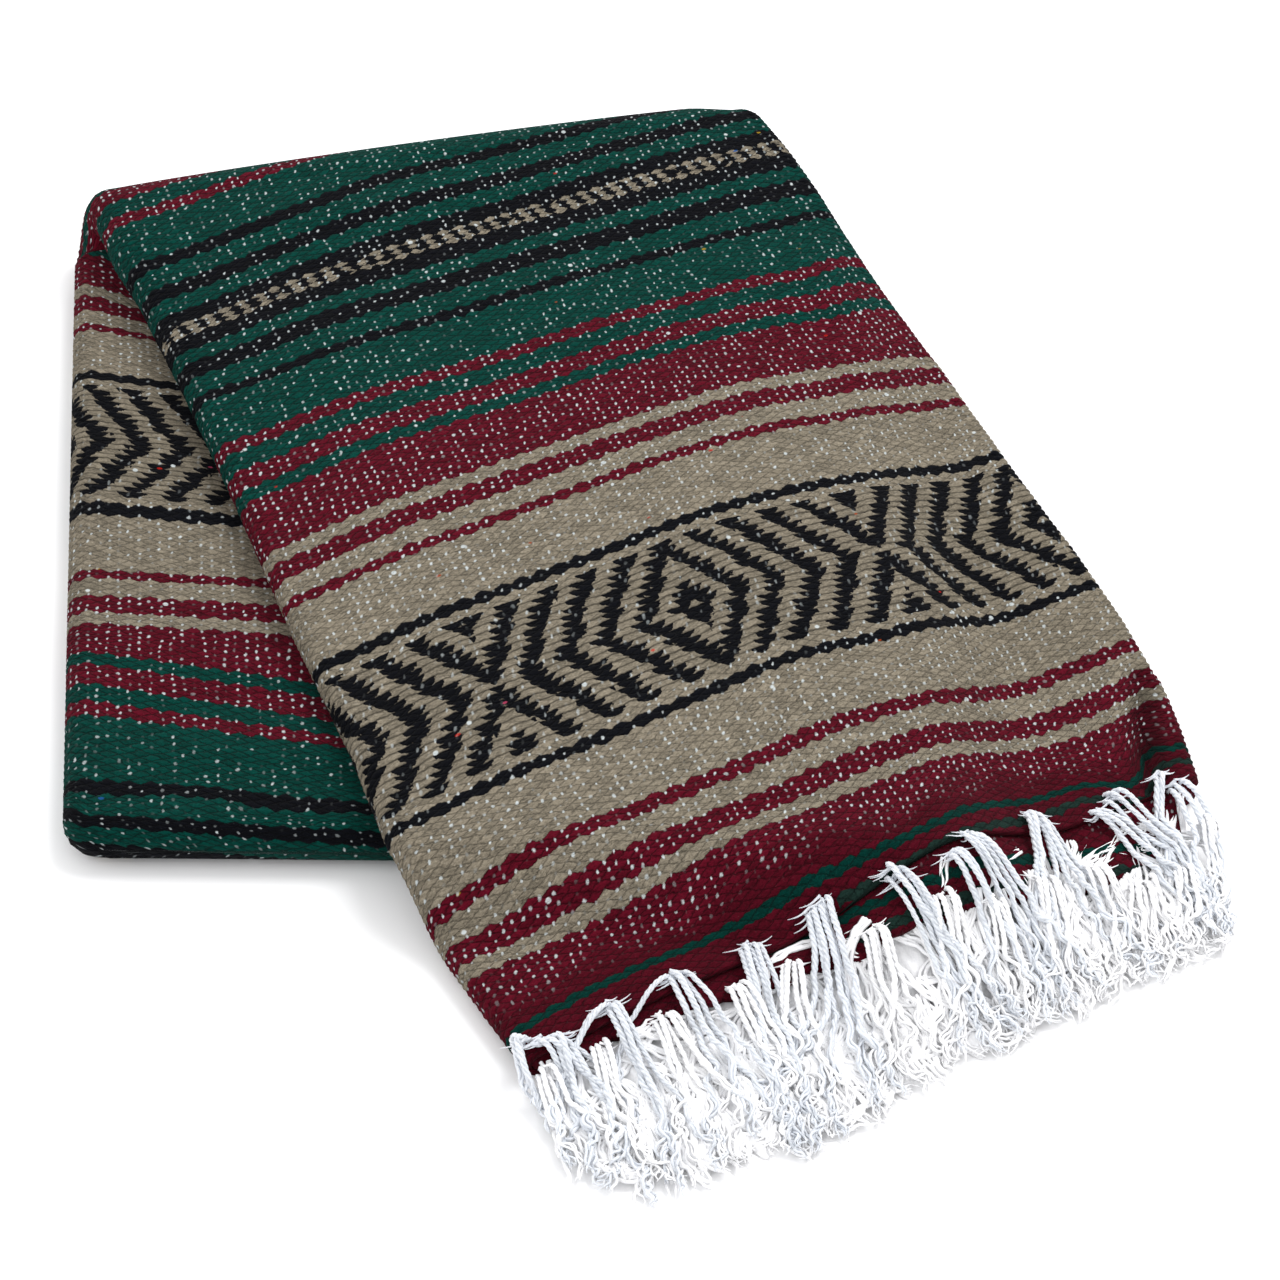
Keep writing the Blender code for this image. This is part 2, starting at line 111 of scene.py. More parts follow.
# Where the upper leg's stripes lie against a straight ruling, in mm: a row for each distance from the band's
# middle, a column for each share of the width
SHIFT_ACROSS = (0.00, 0.10, 0.25, 0.40, 0.55, 0.70, 0.80, 0.88, 0.92, 0.96)
SHIFT_ROWS = (
    (-340, -16.5, -15.5, -13.0, -12.5, -16.0, -19.0, -21.0, -22.0, -22.2, -22.5),
    (-320, -15.2, -14.8, -11.0, -7.4, -12.2, -15.0, -17.5, -19.0, -19.5, -20.0),
    (-300, -15.2, -14.8, -10.6, -6.4, -10.3, -14.0, -16.5, -18.0, -18.5, -19.0),
    (-280, -14.2, -13.5, -9.0, -6.2, -9.3, -10.2, -11.8, -14.0, -15.5, -17.0),
    (-255, -12.2, -11.3, -6.8, -6.2, -7.8, -9.8, -11.2, -12.8, -14.2, -15.5),
    (-215, -6.8, -7.6, -5.8, -6.9, -7.0, -9.6, -10.8, -13.2, -15.1, -17.0),
    (-170, -7.0, -6.8, -6.8, -8.3, -7.6, -9.3, -11.6, -16.3, -14.7, -13.0),
    (-130, -9.5, -8.2, -7.0, -7.2, -6.0, -6.6, -11.8, -16.4, -12.8, -9.2),
    (-85, -9.4, -8.0, -7.4, -5.6, -4.0, -6.5, -13.2, -13.0, -9.6, -6.2),
    (-44, -8.8, -8.0, -7.4, -5.0, -2.5, -7.5, -13.5, -8.5, -6.5, -4.5),
    (0, -11.8, -9.8, -8.5, -5.6, -2.9, -8.8, -9.6, -5.6, -4.5, -3.5),
    (44, -14.2, -11.2, -9.6, -6.0, -3.3, -9.6, -6.0, -3.2, -2.8, -2.4),
    (80, -9.5, -10.0, -10.2, -7.3, -4.2, -8.5, -4.4, -2.6, -1.8, -1.0),
    (110, -3.0, -4.5, -8.8, -8.5, -6.0, -6.2, -3.0, -2.6, -1.1, 0.5),
    (145, -7.0, -2.1, -0.9, -2.3, -5.2, 1.0, 5.5, -2.6, 9.0, 5.0),
)
UPPER_SKEW = 0.0615  # slope of the straight ruling across the strip
BAND_LEFT = np.array((-0.0958, -0.0973))  # the left end of the band's middle line, in plan


def smooth(share):
    """0 up to a share of 0, 1 from a share of 1, and a soft step between."""
    share = np.clip(share, 0.0, 1.0)
    return share * share * (3.0 - 2.0 * share)


def unit(vectors):
    """Vectors of length 1, and no division by nought."""
    return vectors / np.maximum(np.linalg.norm(vectors, axis=-1, keepdims=True), 1e-9)


def run_of(turn):
    return np.array((np.sin(turn), -np.cos(turn)))


def across_of(turn):
    return np.array((np.cos(turn), np.sin(turn)))


UPPER_RUN = run_of(UPPER_TURN)
UPPER_ACROSS = across_of(UPPER_TURN)
LOWER_RUN = run_of(LOWER_TURN)
FOLD_ALONG = across_of(FOLD_TURN)
FOLD_OUT = -run_of(FOLD_TURN)
UPPER_FOLD_RIGHT = UPPER_FOLD_LEFT + FOLD_ALONG * STRIP_WIDTH / np.cos(UPPER_TURN - FOLD_TURN)
FOLD_DRIFT = FOLD_ALONG * pi * FOLD_RADIUS * np.tan(UPPER_TURN - FOLD_TURN)
LOWER_FOLD_RIGHT = UPPER_FOLD_RIGHT - FOLD_DRIFT
LOWER_END_LEFT = UPPER_FOLD_LEFT - FOLD_DRIFT + LOWER_RUN * LOWER_LEFT
LOWER_END_RIGHT = LOWER_FOLD_RIGHT + LOWER_RUN * LOWER_RIGHT
MIDDLE = STRIP_THICK / 2.0


def on_strip(spot):
    """Share of the strip's width, and distance along the run from the band's middle, of plan spots."""
    offset = spot - BAND_LEFT
    return offset @ UPPER_ACROSS / STRIP_WIDTH, offset @ UPPER_RUN


def upper_column(name, along):
    return np.interp(along, UPPER_ROWS[:, 0], UPPER_ROWS[:, UPPER_COLUMNS.index(name)])


def beyond(spot, start, end):
    """How far plan spots lie to the left of the line from start to end."""
    line = (end - start) / np.linalg.norm(end - start)
    offset = spot - start
    return line[0] * offset[..., 1] - line[1] * offset[..., 0]


def resting_height(spot):
    """Height of what the upper leg rests on: the lower leg's top, sinking to the table past its edges."""
    side = -beyond(spot, LOWER_END_RIGHT, LOWER_FOLD_RIGHT) - DROOP_START
    end = -beyond(spot, LOWER_END_LEFT, LOWER_END_RIGHT) - DROOP_START
    sink = np.hypot(np.maximum(side, 0.0) / DROOP_SIDE, np.maximum(end, 0.0) / DROOP_END)
    return (STRIP_THICK + GAP) * (1.0 - smooth(sink))


def underside(spot):
    """Height of the upper leg's underside, which rises to the top fold."""
    at_fold = 2.0 * FOLD_RADIUS - STRIP_THICK
    rest = resting_height(spot)
    before = -(spot - UPPER_FOLD_LEFT) @ FOLD_OUT
    return rest + (at_fold - rest) * (1.0 - smooth(before / FOLD_BLEND))


def thickness(place, width, thick):
    left, middle, right = thick
    from_left = smooth((place - left / 2.0) / EDGE_RISE)
    from_right = smooth((width - right / 2.0 - place) / EDGE_RISE)
    return middle - (middle - left) * (1.0 - from_left) - (middle - right) * (1.0 - from_right)


def upper_line(along):
    """The upper leg's left and right edge in plan, at shares of the way along it."""
    along = np.asarray(along)[..., None]
    left = UPPER_FOLD_LEFT + UPPER_RUN * UPPER_LEFT * along
    right = UPPER_FOLD_RIGHT + UPPER_RUN * UPPER_RIGHT * along
    shifts = (UPPER_ACROSS * upper_column(name, along) for name in ("left_shift", "right_shift"))
    return tuple(edge + shift for edge, shift in zip((left, right), shifts))


def upper_thick(along):
    return tuple(upper_column(name, along) for name in ("left_thick", "middle_thick", "right_thick"))


# How many cells each stretch of a section has: round its upper right roll, over the top, round the left roll,
# along the underside, and round the lower right roll
FINE_TOP = (9, 64, 13, 12, 6)
FINE_UNDER = (6, 12, 13, 64, 9)
COARSE = (4, 44, 6, 11, 4)


def section(width, thick, cells, inset=0.0, notch=1.0):
    """Places across and heights round sections, from the slit in the right edge over the top to the left edge
    and back along the underside. The notch is 1 where the right edge has the slit between two rolls, and 0
    where it is one roll."""
    left, _, right = thick
    top_roll, top, left_roll, under, low_roll = cells
    first = left / 2.0
    roll = right / 4.0
    last = width - right * (0.5 - 0.25 * notch)
    radius = roll - NOTCH_CLEAR - inset
    whole = right / 2.0 - inset

    def right_part(angle, upper):
        centre = 3.0 * roll if upper else roll
        fit = np.where((np.sin(angle) > 0) == upper, roll - inset, radius)
        double = width - roll + radius * np.cos(angle), centre + fit * np.sin(angle)
        half = (angle + pi / 2.0) / 2.0 - (0.0 if upper else pi / 2.0)
        single = width - right / 2.0 + whole * np.cos(half), right / 2.0 + whole * np.sin(half)
        return [s + (d - s) * notch for s, d in zip(single, double)]

    def turned(start, end, count):
        return np.linspace(start, end, count + 1)[None, :]

    over_place = last + (first - last) * turned(0.0, 1.0, top)
    under_place = first + (last - first) * turned(0.0, 1.0, under)
    left_turn = turned(pi / 2, 1.5 * pi, left_roll)[:, 1:-1]
    parts = (
        ((width - roll - NOTCH_CLEAR - inset) * notch + (width - inset) * (1.0 - notch), right / 2.0),
        right_part(turned(-pi / 2, pi / 2, top_roll)[:, :-1], True),
        (over_place, thickness(over_place, width, thick) - inset),
        (first + (first - inset) * np.cos(left_turn), first + (first - inset) * np.sin(left_turn)),
        (under_place, inset * np.ones_like(under_place)),
        right_part(turned(-pi / 2, pi / 2, low_roll)[:, 1:], False),
    )
    return tuple(
        np.concatenate([np.broadcast_to(part, (len(width), part.shape[1])) for part in run], axis=1)
        for run in zip(*parts)
    )


def warp_at(share):
    """The warp count at a share of the strip's width; the cloth is a little drawn in on the right."""
    mm = share * STRIP_WIDTH * 1000.0 - CENTRE_MM
    return CENTRE_WARP + np.where(mm < 0.0, mm / LEFT_WARP_MM, mm / RIGHT_WARP_MM)


def fine_columns(cells, fine_top):
    """The first and last column of a section's fine face."""
    top_roll, top, left_roll, under, _ = cells
    first = 1 + top_roll + (0 if fine_top else top + left_roll)
    return first, first + (top if fine_top else under)


def warps_round(sheet, cells, fine_top):
    """The warp count at each point of a section: straight across the fine face, and on round both edges."""
    steps = np.hypot(np.diff(sheet.places, axis=1), np.diff(sheet.heights, axis=1)) * 1000.0 / WARP_MM
    first, last = fine_columns(cells, fine_top)
    w = warp_at(sheet.places / sheet.width)
    onward = -1.0 if fine_top else 1.0
    for k in range(first, 0, -1):
        w[:, k - 1] = w[:, k] - onward * steps[:, k - 1]
    for k in range(last, w.shape[1] - 1):
        w[:, k + 1] = w[:, k] + onward * steps[:, k]
    return w


# Soft troughs and ridges of the upper leg's top: where each starts and ends in plan, its half width and its
# height in the middle, in metres
UPPER_CREASES = (
    (0.1020, 0.1300, 0.1750, -0.0550, 0.024, -0.0055),
    (0.1750, -0.0550, 0.1480, -0.1300, 0.020, -0.0035),
    (0.2246, -0.0600, 0.2224, -0.1190, 0.0048, -0.0086),
    (0.2330, -0.0660, 0.2318, -0.1180, 0.0070, 0.0036),
    (-0.1300, 0.1500, 0.0100, 0.2250, 0.016, -0.0014),
    (-0.1700, 0.1900, -0.0600, 0.2300, 0.012, 0.0010),
    (0.0300, 0.2050, 0.0500, 0.1000, 0.018, -0.0012),
    (-0.1200, 0.0300, -0.0200, 0.0500, 0.026, 0.0010),
    (0.0100, -0.0500, 0.1000, -0.0150, 0.022, -0.0011),
    (-0.0600, -0.1500, 0.0600, -0.1150, 0.018, 0.0012),
    (0.0300, -0.1700, 0.1500, -0.1250, 0.012, -0.0016),
    (-0.0200, 0.1200, 0.0800, 0.1600, 0.024, 0.0012),
)
LOWER_CREASES = (
    (-0.2240, 0.1150, -0.2120, -0.0050, 0.0025, -0.0022),
    (-0.1700, 0.1400, -0.1250, -0.0600, 0.014, -0.0020),
    (-0.2350, -0.0300, -0.1350, -0.0500, 0.018, 0.0010),
    (-0.2150, -0.0850, -0.0700, -0.0720, 0.012, -0.0013),
    (-0.2000, 0.0400, -0.1500, 0.0150, 0.016, 0.0012),
    (-0.1650, -0.1050, -0.0400, -0.1120, 0.009, 0.0010),
)
SHARP_CREASE = 2  # the row of the sharp crease beside the hem's right corner
# The same crease as the layers inside have it
DEEP_CREASE = ((0.2246, -0.0600, 0.2224, -0.1190, 0.014, -0.0058),)


def creased_only(spot, creases):
    """How far the listed troughs and ridges lift the surface at a plan spot."""
    lift = np.zeros(spot.shape[:-1])
    for x0, y0, x1, y1, half, height in creases:
        start, end = np.array((x0, y0)), np.array((x1, y1))
        line = end - start
        length = np.linalg.norm(line)
        offset = spot - start
        share = np.clip((offset @ line) / (length * length), 0.0, 1.0)
        away = np.linalg.norm(offset - share[..., None] * line, axis=-1)
        ends = 0.45 + 0.55 * np.sin(pi * np.clip(share, 0.04, 0.96))
        lift += height * ends * np.exp(-((away / half) ** 2) * 1.2)
    return lift


def creased(spot, creases):
    """The troughs and ridges, with a slight uneven wave over the whole cloth."""
    lift = creased_only(spot, creases)
    x, y = spot[..., 0], spot[..., 1]
    lift += 0.0005 * np.sin(61.0 * x + 23.0 * y + 1.3) * np.sin(37.0 * y - 19.0 * x)
    lift += 0.0003 * np.sin(131.0 * y + 47.0 * x) * np.sin(83.0 * x - 29.0 * y + 0.7)
    return lift


# Sections in space: their points, the places across and heights that these have in a flat section, their
# widths, and the plan spots by which the pattern is read
Sheet = namedtuple("Sheet", "points places heights width seen")


def standing(spot, z):
    """Points of plan spots and heights."""
    return np.concatenate([spot, z[..., None]], axis=-1)


def over_body(heights):
    """1 over the body of a section and 0 at its underside."""
    return smooth(heights / BODY_HEIGHT - 0.15)


def shifted(spot, lift):
    """Plan spots moved back by their lift, so that the stripes follow the creases."""
    return spot + np.stack([np.zeros_like(lift), lift], axis=-1)


def upper_sheet(alongs, cells, inset=0.0):
    """Sections of the upper leg, at shares of the way from the top fold to the hem."""
    left, right = upper_line(alongs)
    width = np.linalg.norm(right - left, axis=1)[:, None]
    places, heights = section(width, upper_thick(alongs[:, None]), cells, inset)
    spot = left[:, None] + (right - left)[:, None] * (places / width)[..., None]
    lift = creased(spot, UPPER_CREASES) * over_body(heights) * smooth(alongs / 0.06)[:, None]
    z = underside(spot) + heights + lift
    return Sheet(standing(spot, z), places, heights, width, shifted(spot, lift))


def fold_sheet(angles, cells, inset=0.0):
    """Sections of the top fold, at angles from straight up."""
    angles = angles[:, None]
    left, right = upper_line(0.0)
    width = np.full(angles.shape, np.linalg.norm(right - left))
    places, heights = section(width, [np.full(angles.shape, STRIP_THICK)] * 3, cells, inset)
    share = places / width
    bulge = FOLD_BULGE * np.sin(pi * np.clip(share, 0.0, 1.0)) ** 0.45
    radius = FOLD_RADIUS - STRIP_THICK + heights + bulge * np.sin(angles) * over_body(heights)
    radius = radius * (1.0 - FOLD_CORNER * smooth((share - 0.90) / 0.10) * np.sin(angles))
    flat = left + (right - left) * share[..., None]
    spot = flat - FOLD_DRIFT * angles[..., None] / pi + FOLD_OUT * (radius * np.sin(angles))[..., None]
    return Sheet(standing(spot, FOLD_RADIUS + radius * np.cos(angles)), places, heights, width, flat)


def lower_line(before_end):
    """The lower leg's left and right edge in plan, at distances before its end."""
    left_start, right_start = (edge - FOLD_DRIFT for edge in upper_line(0.0))
    share = before_end[:, None] / LOWER_LEFT
    left = LOWER_END_LEFT + (left_start - LOWER_END_LEFT) * share
    right = LOWER_END_RIGHT + (right_start - LOWER_END_RIGHT) * share
    return left, right


def rounding(before_end, inset):
    """How far the strip's outline is drawn in at its rounded corners."""
    radius = CORNER_RADIUS - inset
    inward = np.clip(radius - before_end, 0.0, radius)
    return radius - np.sqrt(radius * radius - inward * inward)


def lower_sheet(flat_places, nose_angles, cells, inset=0.0):
    """Sections of the lower leg, at distances before its end, and of its bottom fold, at angles round it."""
    nose = len(nose_angles)
    angles = np.concatenate([np.zeros(len(flat_places)), nose_angles])
    before_end = np.concatenate([flat_places, MIDDLE - (MIDDLE - inset) * np.sin(nose_angles)])
    notch = np.concatenate([smooth((flat_places - MIDDLE) / NOTCH_BLEND), np.zeros(nose)])[:, None]
    left, right = lower_line(before_end)
    width = np.linalg.norm(right - left, axis=1)[:, None]
    places, heights = section(width, [np.full(width.shape, STRIP_THICK)] * 3, cells, inset, notch)
    drawn = rounding(before_end - inset, inset)[:, None] * (1.0 - 2.0 * places / width)
    share = (places + drawn) / width
    spot = left[:, None] + (right - left)[:, None] * share[..., None]
    z = MIDDLE + (MIDDLE - heights) * np.cos(angles)[:, None]
    lift = creased(spot, LOWER_CREASES) * smooth((z - MIDDLE) / 0.008)
    return Sheet(standing(spot, z + lift), places, heights, width, shifted(spot, lift))


# ---------------------------------------------------------------- where the pattern lies on the cloth
def between(values, slopes, step, t):
    """A smooth curve between two values with their slopes, at the share t of the step between them."""
    start, end = values
    slope_start, slope_end = slopes
    return (
        start * (1.0 + 2.0 * t) * (1.0 - t) ** 2 + slope_start * step * t * (1.0 - t) ** 2
        + end * t * t * (3.0 - 2.0 * t) + slope_end * step * t * t * (t - 1.0)
    )


def stretch_of(x, places):
    """Which stretch between places x lies in, the stretch's length and x's share of it."""
    k = np.clip(np.searchsorted(places, x) - 1, 0, len(places) - 2)
    step = places[k + 1] - places[k]
    return k, step, np.clip((x - places[k]) / step, 0.0, 1.0)


def upper_pattern(spot):
    """Distance in mm from the band's middle, towards the hem, of the upper leg's stripe at a plan spot."""
    table = np.array(SHIFT_ROWS, float)
    rows, columns = table[:, 0], np.array(SHIFT_ACROSS)
    share, run = on_strip(spot)
    straight = (run + UPPER_SKEW * STRIP_WIDTH * (share - 0.5)) * 1000.0
    values = table[:, 1:].T
    slope = np.gradient(values, columns, axis=0)
    k, step, t = stretch_of(np.clip(share, 0.0, columns[-1]).ravel(), columns)
    by_row = between((values[k], values[k + 1]), (slope[k], slope[k + 1]), step[:, None], t[:, None])
    slope = np.gradient(by_row, rows, axis=1)
    k, step, t = stretch_of(np.clip(straight.ravel(), rows[0], rows[-1]), rows)
    line = np.arange(len(k))
    shift = between((by_row[line, k], by_row[line, k + 1]), (slope[line, k], slope[line, k + 1]), step, t)
    return straight + shift.reshape(straight.shape)


# The lower leg's stripes: distance in mm from its own band's middle towards the bottom fold, and where that
# stripe's edge lies in plan at the leg's left edge and further right
LOWER_STRIPES = (
    (-115.0, -0.2384, 0.1905, -0.2130, 0.1775),
    (-96.9, -0.2364, 0.1709, -0.2055, 0.1596),
    (-79.7, -0.2344, 0.1552, -0.1994, 0.1455),
    (-47.2, -0.2315, 0.1253, -0.1882, 0.1164),
    (-40.8, -0.2310, 0.1211, -0.1846, 0.1117),
    (40.8, -0.2221, 0.0417, -0.1505, 0.0323),
    (47.2, -0.2217, 0.0348, -0.1481, 0.0248),
    (79.7, -0.2188, -0.0008, -0.1398, -0.0068),
    (96.9, -0.2171, -0.0170, -0.1302, -0.0235),
    (115.0, -0.2150, -0.0334, -0.1225, -0.0415),
    (136.0, -0.2130, -0.0484, -0.1104, -0.0682),
    (154.4, -0.2109, -0.0649, -0.1030, -0.0881),
    (171.9, -0.2080, -0.0843, -0.0948, -0.1039),
    (203.9, -0.2030, -0.1199, -0.0843, -0.1329),
    (222.5, -0.1993, -0.1392, -0.0773, -0.1545),
)


def lower_pattern(spot):
    """The same for the lower leg: its own stripe's distance in mm from its own band's middle."""
    table = np.array(LOWER_STRIPES)
    x, y = spot[..., 0], spot[..., 1]
    lines = [ly + (ry - ly) * (x - lx) / (rx - lx) for _, lx, ly, rx, ry in table]
    value = table[0, 0] + (lines[0] - y) * 1000.0
    for k in range(len(table) - 1):
        share = (lines[k] - y) / (lines[k] - lines[k + 1])
        reach = table[k, 0] + (table[k + 1, 0] - table[k, 0]) * share
        value = np.where(share > 0.0, reach, value)
    past = (lines[-1] - y) * 1000.0
    return np.where(past > 0.0, table[-1, 0] + past, value)


# ---------------------------------------------------------------- mesh building
def grid_quads(rows, count, closed=False):
    """The quads of a grid of points, by number; a closed grid's last column joins its first."""
    i, j = np.meshgrid(np.arange(rows - 1), np.arange(count if closed else count - 1), indexing="ij")
    here, there = i * count, (i + 1) * count
    k = (j + 1) % count
    return np.stack([here + j, here + k, there + k, there + j], -1).reshape(-1, 4)


def leaf_quads(rows, count):
    """The quads of a thin leaf: a grid on top, the same grid numbered on below it, and the rim between."""
    top = grid_quads(rows, count)
    at = np.arange(rows * count).reshape(rows, count)
    rim = np.concatenate([at[0], at[1:, -1], at[-1, -2::-1], at[-2:0:-1, 0]])
    onward = np.roll(rim, -1)
    below = rows * count
    edge = np.stack([rim, rim + below, onward + below, onward], -1)
    return np.concatenate([top, top[:, ::-1] + below, edge])


def zipped(a, at_a, b, at_b):
    """Triangles between two chains of vertices, a and b, in step with the places at_a and at_b along them."""
    faces = []
    i = j = 0
    while i < len(a) - 1 or j < len(b) - 1:
        if j == len(b) - 1 or (i < len(a) - 1 and at_a[i + 1] <= at_b[j + 1]):
            face = (a[i], a[i + 1], b[j])
            i += 1
        else:
            face = (a[i], b[j + 1], b[j])
            j += 1
        if len(set(face)) == 3:
            faces.append(face)
    return faces


def turned_over(faces):
    return [face[::-1] for face in faces]


def lid(ring, start):
    """Triangles that fill a section's ring, numbered from start on, between its upper and its lower chain."""
    tip = int(np.argmin((ring - ring[0]) @ (ring[0] - ring.mean(axis=0))))
    chains = list(range(tip + 1)), [0, *range(len(ring) - 1, tip - 1, -1)]
    at = [((ring[chain] - ring[0]) @ (ring[tip] - ring[0])).tolist() for chain in chains]
    over, under = ([start + k for k in chain] for chain in chains)
    return zipped(over, at[0], under, at[1])


def rim_of(ring, start):
    """A closed ring's points by number, the first again at the end, and how far round it each lies."""
    steps = np.linalg.norm(np.diff(np.vstack([ring, ring[:1]]), axis=0), axis=1)
    along = np.concatenate([[0.0], np.cumsum(steps)])
    return [start + k % len(ring) for k in range(len(ring) + 1)], along / along[-1]


def grid_normals(points):
    """Unit normals of a grid whose columns close round."""
    across = np.roll(points, -1, axis=1) - np.roll(points, 1, axis=1)
    return unit(np.cross(across, np.gradient(points, axis=0)))


def cell_noise(w, p):
    """A fixed value from 0 to 1 for each crossing of a warp and a pick."""
    mix = np.sin(np.round(w) * 12.9898 + np.round(p) * 78.233 + 37.719) * 43758.5453
    return mix - np.floor(mix)


def raised(points, w, p, weight):
    """The grid with the weave's floats raised on it, and nothing below the table."""
    normal = grid_normals(points)
    outward = 1.0 if normal[100, 40, 2] > 0 else -1.0
    lift = RELIEF * weight * (0.75 + 0.5 * cell_noise(w, p)) * np.cos(pi * w) * np.cos(pi * p)
    lifted = points + normal * outward * lift[..., None]
    lifted[..., 2] = np.maximum(lifted[..., 2], 0.0)
    return lifted


def add_piece(name, points, faces, material, uv=None):
    """A smooth object of points and faces, turned out, with cloth coordinates for each face's corners."""
    mesh = bpy.data.meshes.new(name)
    mesh.from_pydata(points.tolist(), [], faces)
    if uv is not None:
        mesh.uv_layers.new(name="weave").data.foreach_set("uv", uv.astype(np.float32).reshape(-1))
    mesh.update()
    mesh.calc_loop_triangles()
    triangles = np.empty(len(mesh.loop_triangles) * 3, np.int32)
    mesh.loop_triangles.foreach_get("vertices", triangles)
    a, b, c = np.moveaxis(points[triangles.reshape(-1, 3)], 1, 0)
    if (a * np.cross(b, c)).sum() < 0.0:
        mesh.flip_normals()
    mesh.shade_smooth()
    mesh.materials.append(material)
    piece = bpy.data.objects.new(name, mesh)
    bpy.context.scene.collection.objects.link(piece)
    return piece


def add_tube(name, outer, w, p, inner, material, closed_end=False):
    """A cloth wall: a fine outer skin with cloth coordinates, a coarse inner skin, and rims between them."""
    rows, count = outer.shape[:2]
    inner_rows, inner_count = inner.shape[:2]
    start = rows * count
    quads = grid_quads(rows, count, True)
    inside = start + grid_quads(inner_rows, inner_count, True)[:, ::-1]
    last, inner_last = (rows - 1) * count, start + (inner_rows - 1) * inner_count
    rest = turned_over(zipped(*rim_of(outer[0], 0), *rim_of(inner[0], start)))
    if closed_end:
        rest += lid(outer[-1], last) + turned_over(lid(inner[-1], inner_last))
    else:
        rest += zipped(*rim_of(outer[-1], last), *rim_of(inner[-1], inner_last))
    wide = np.concatenate([w, 2.0 * w[:, -1:] - w[:, -2:-1]], axis=1)
    beside_row = np.round(np.linspace(0, rows - 1, inner_rows)).astype(int)[:, None]
    beside_column = np.round(np.arange(inner_count) * count / inner_count).astype(int)[None, :]
    corners = np.concatenate([inside.reshape(-1), [k for face in rest for k in face]])
    uv = []
    for value, outside in ((w, wide.reshape(-1)[grid_quads(rows, count + 1)]), (p, p.reshape(-1)[quads])):
        everywhere = np.concatenate([value.reshape(-1), value[beside_row, beside_column].reshape(-1)])
        uv.append(np.concatenate([outside.reshape(-1), everywhere[corners]]))
    points = np.concatenate([outer.reshape(-1, 3), inner.reshape(-1, 3)])
    return add_piece(name, points, quads.tolist() + inside.tolist() + rest, material, np.stack(uv, -1))


def add_solid(name, grid, material):
    """A run of closed sections, filled at both ends."""
    rows, count = grid.shape[:2]
    ends = turned_over(lid(grid[0], 0)) + lid(grid[-1], (rows - 1) * count)
    return add_piece(name, grid.reshape(-1, 3), grid_quads(rows, count, True).tolist() + ends, material)


def add_leaf(name, spots, low, thick, w, p, material):
    """A thin cloth with a top, an underside and a rim, on a grid of plan points."""
    faces = leaf_quads(*low.shape)
    points = np.stack([standing(spots, low + thick), standing(spots, low)]).reshape(-1, 3)
    uv = np.stack([w, p], -1).reshape(-1, 2)[faces.reshape(-1) % low.size]
    return add_piece(name, points, faces.tolist(), material, uv)


# ---------------------------------------------------------------- materials
def operation(kind, swapped=False):
    """A method that adds a math node of this kind to the wire's graph."""
    def method(wire, *other):
        return wire.graph.math(kind, *other, wire) if swapped else wire.graph.math(kind, wire, *other)
    return method


class Wire:
    """An output of a node. Arithmetic on wires adds math nodes, and a comparison gives 1 or 0."""

    def __init__(self, graph, socket):
        self.graph = graph
        self.socket = socket

    def beside(self, name):
        """Another output of the same node."""
        return Wire(self.graph, self.socket.node.outputs[name])

    __add__ = operation("ADD")
    __radd__ = operation("ADD", swapped=True)
    __sub__ = operation("SUBTRACT")
    __rsub__ = operation("SUBTRACT", swapped=True)
    __mul__ = operation("MULTIPLY")
    __rmul__ = operation("MULTIPLY", swapped=True)
    __truediv__ = operation("DIVIDE")
    __mod__ = operation("FLOORED_MODULO")
    __abs__ = operation("ABSOLUTE")
    __gt__ = operation("GREATER_THAN")
    __lt__ = operation("GREATER_THAN", swapped=True)


def pick(share, a, b):
    """a where share is 0 and b where it is 1."""
    return a * (1.0 - share) + b * share


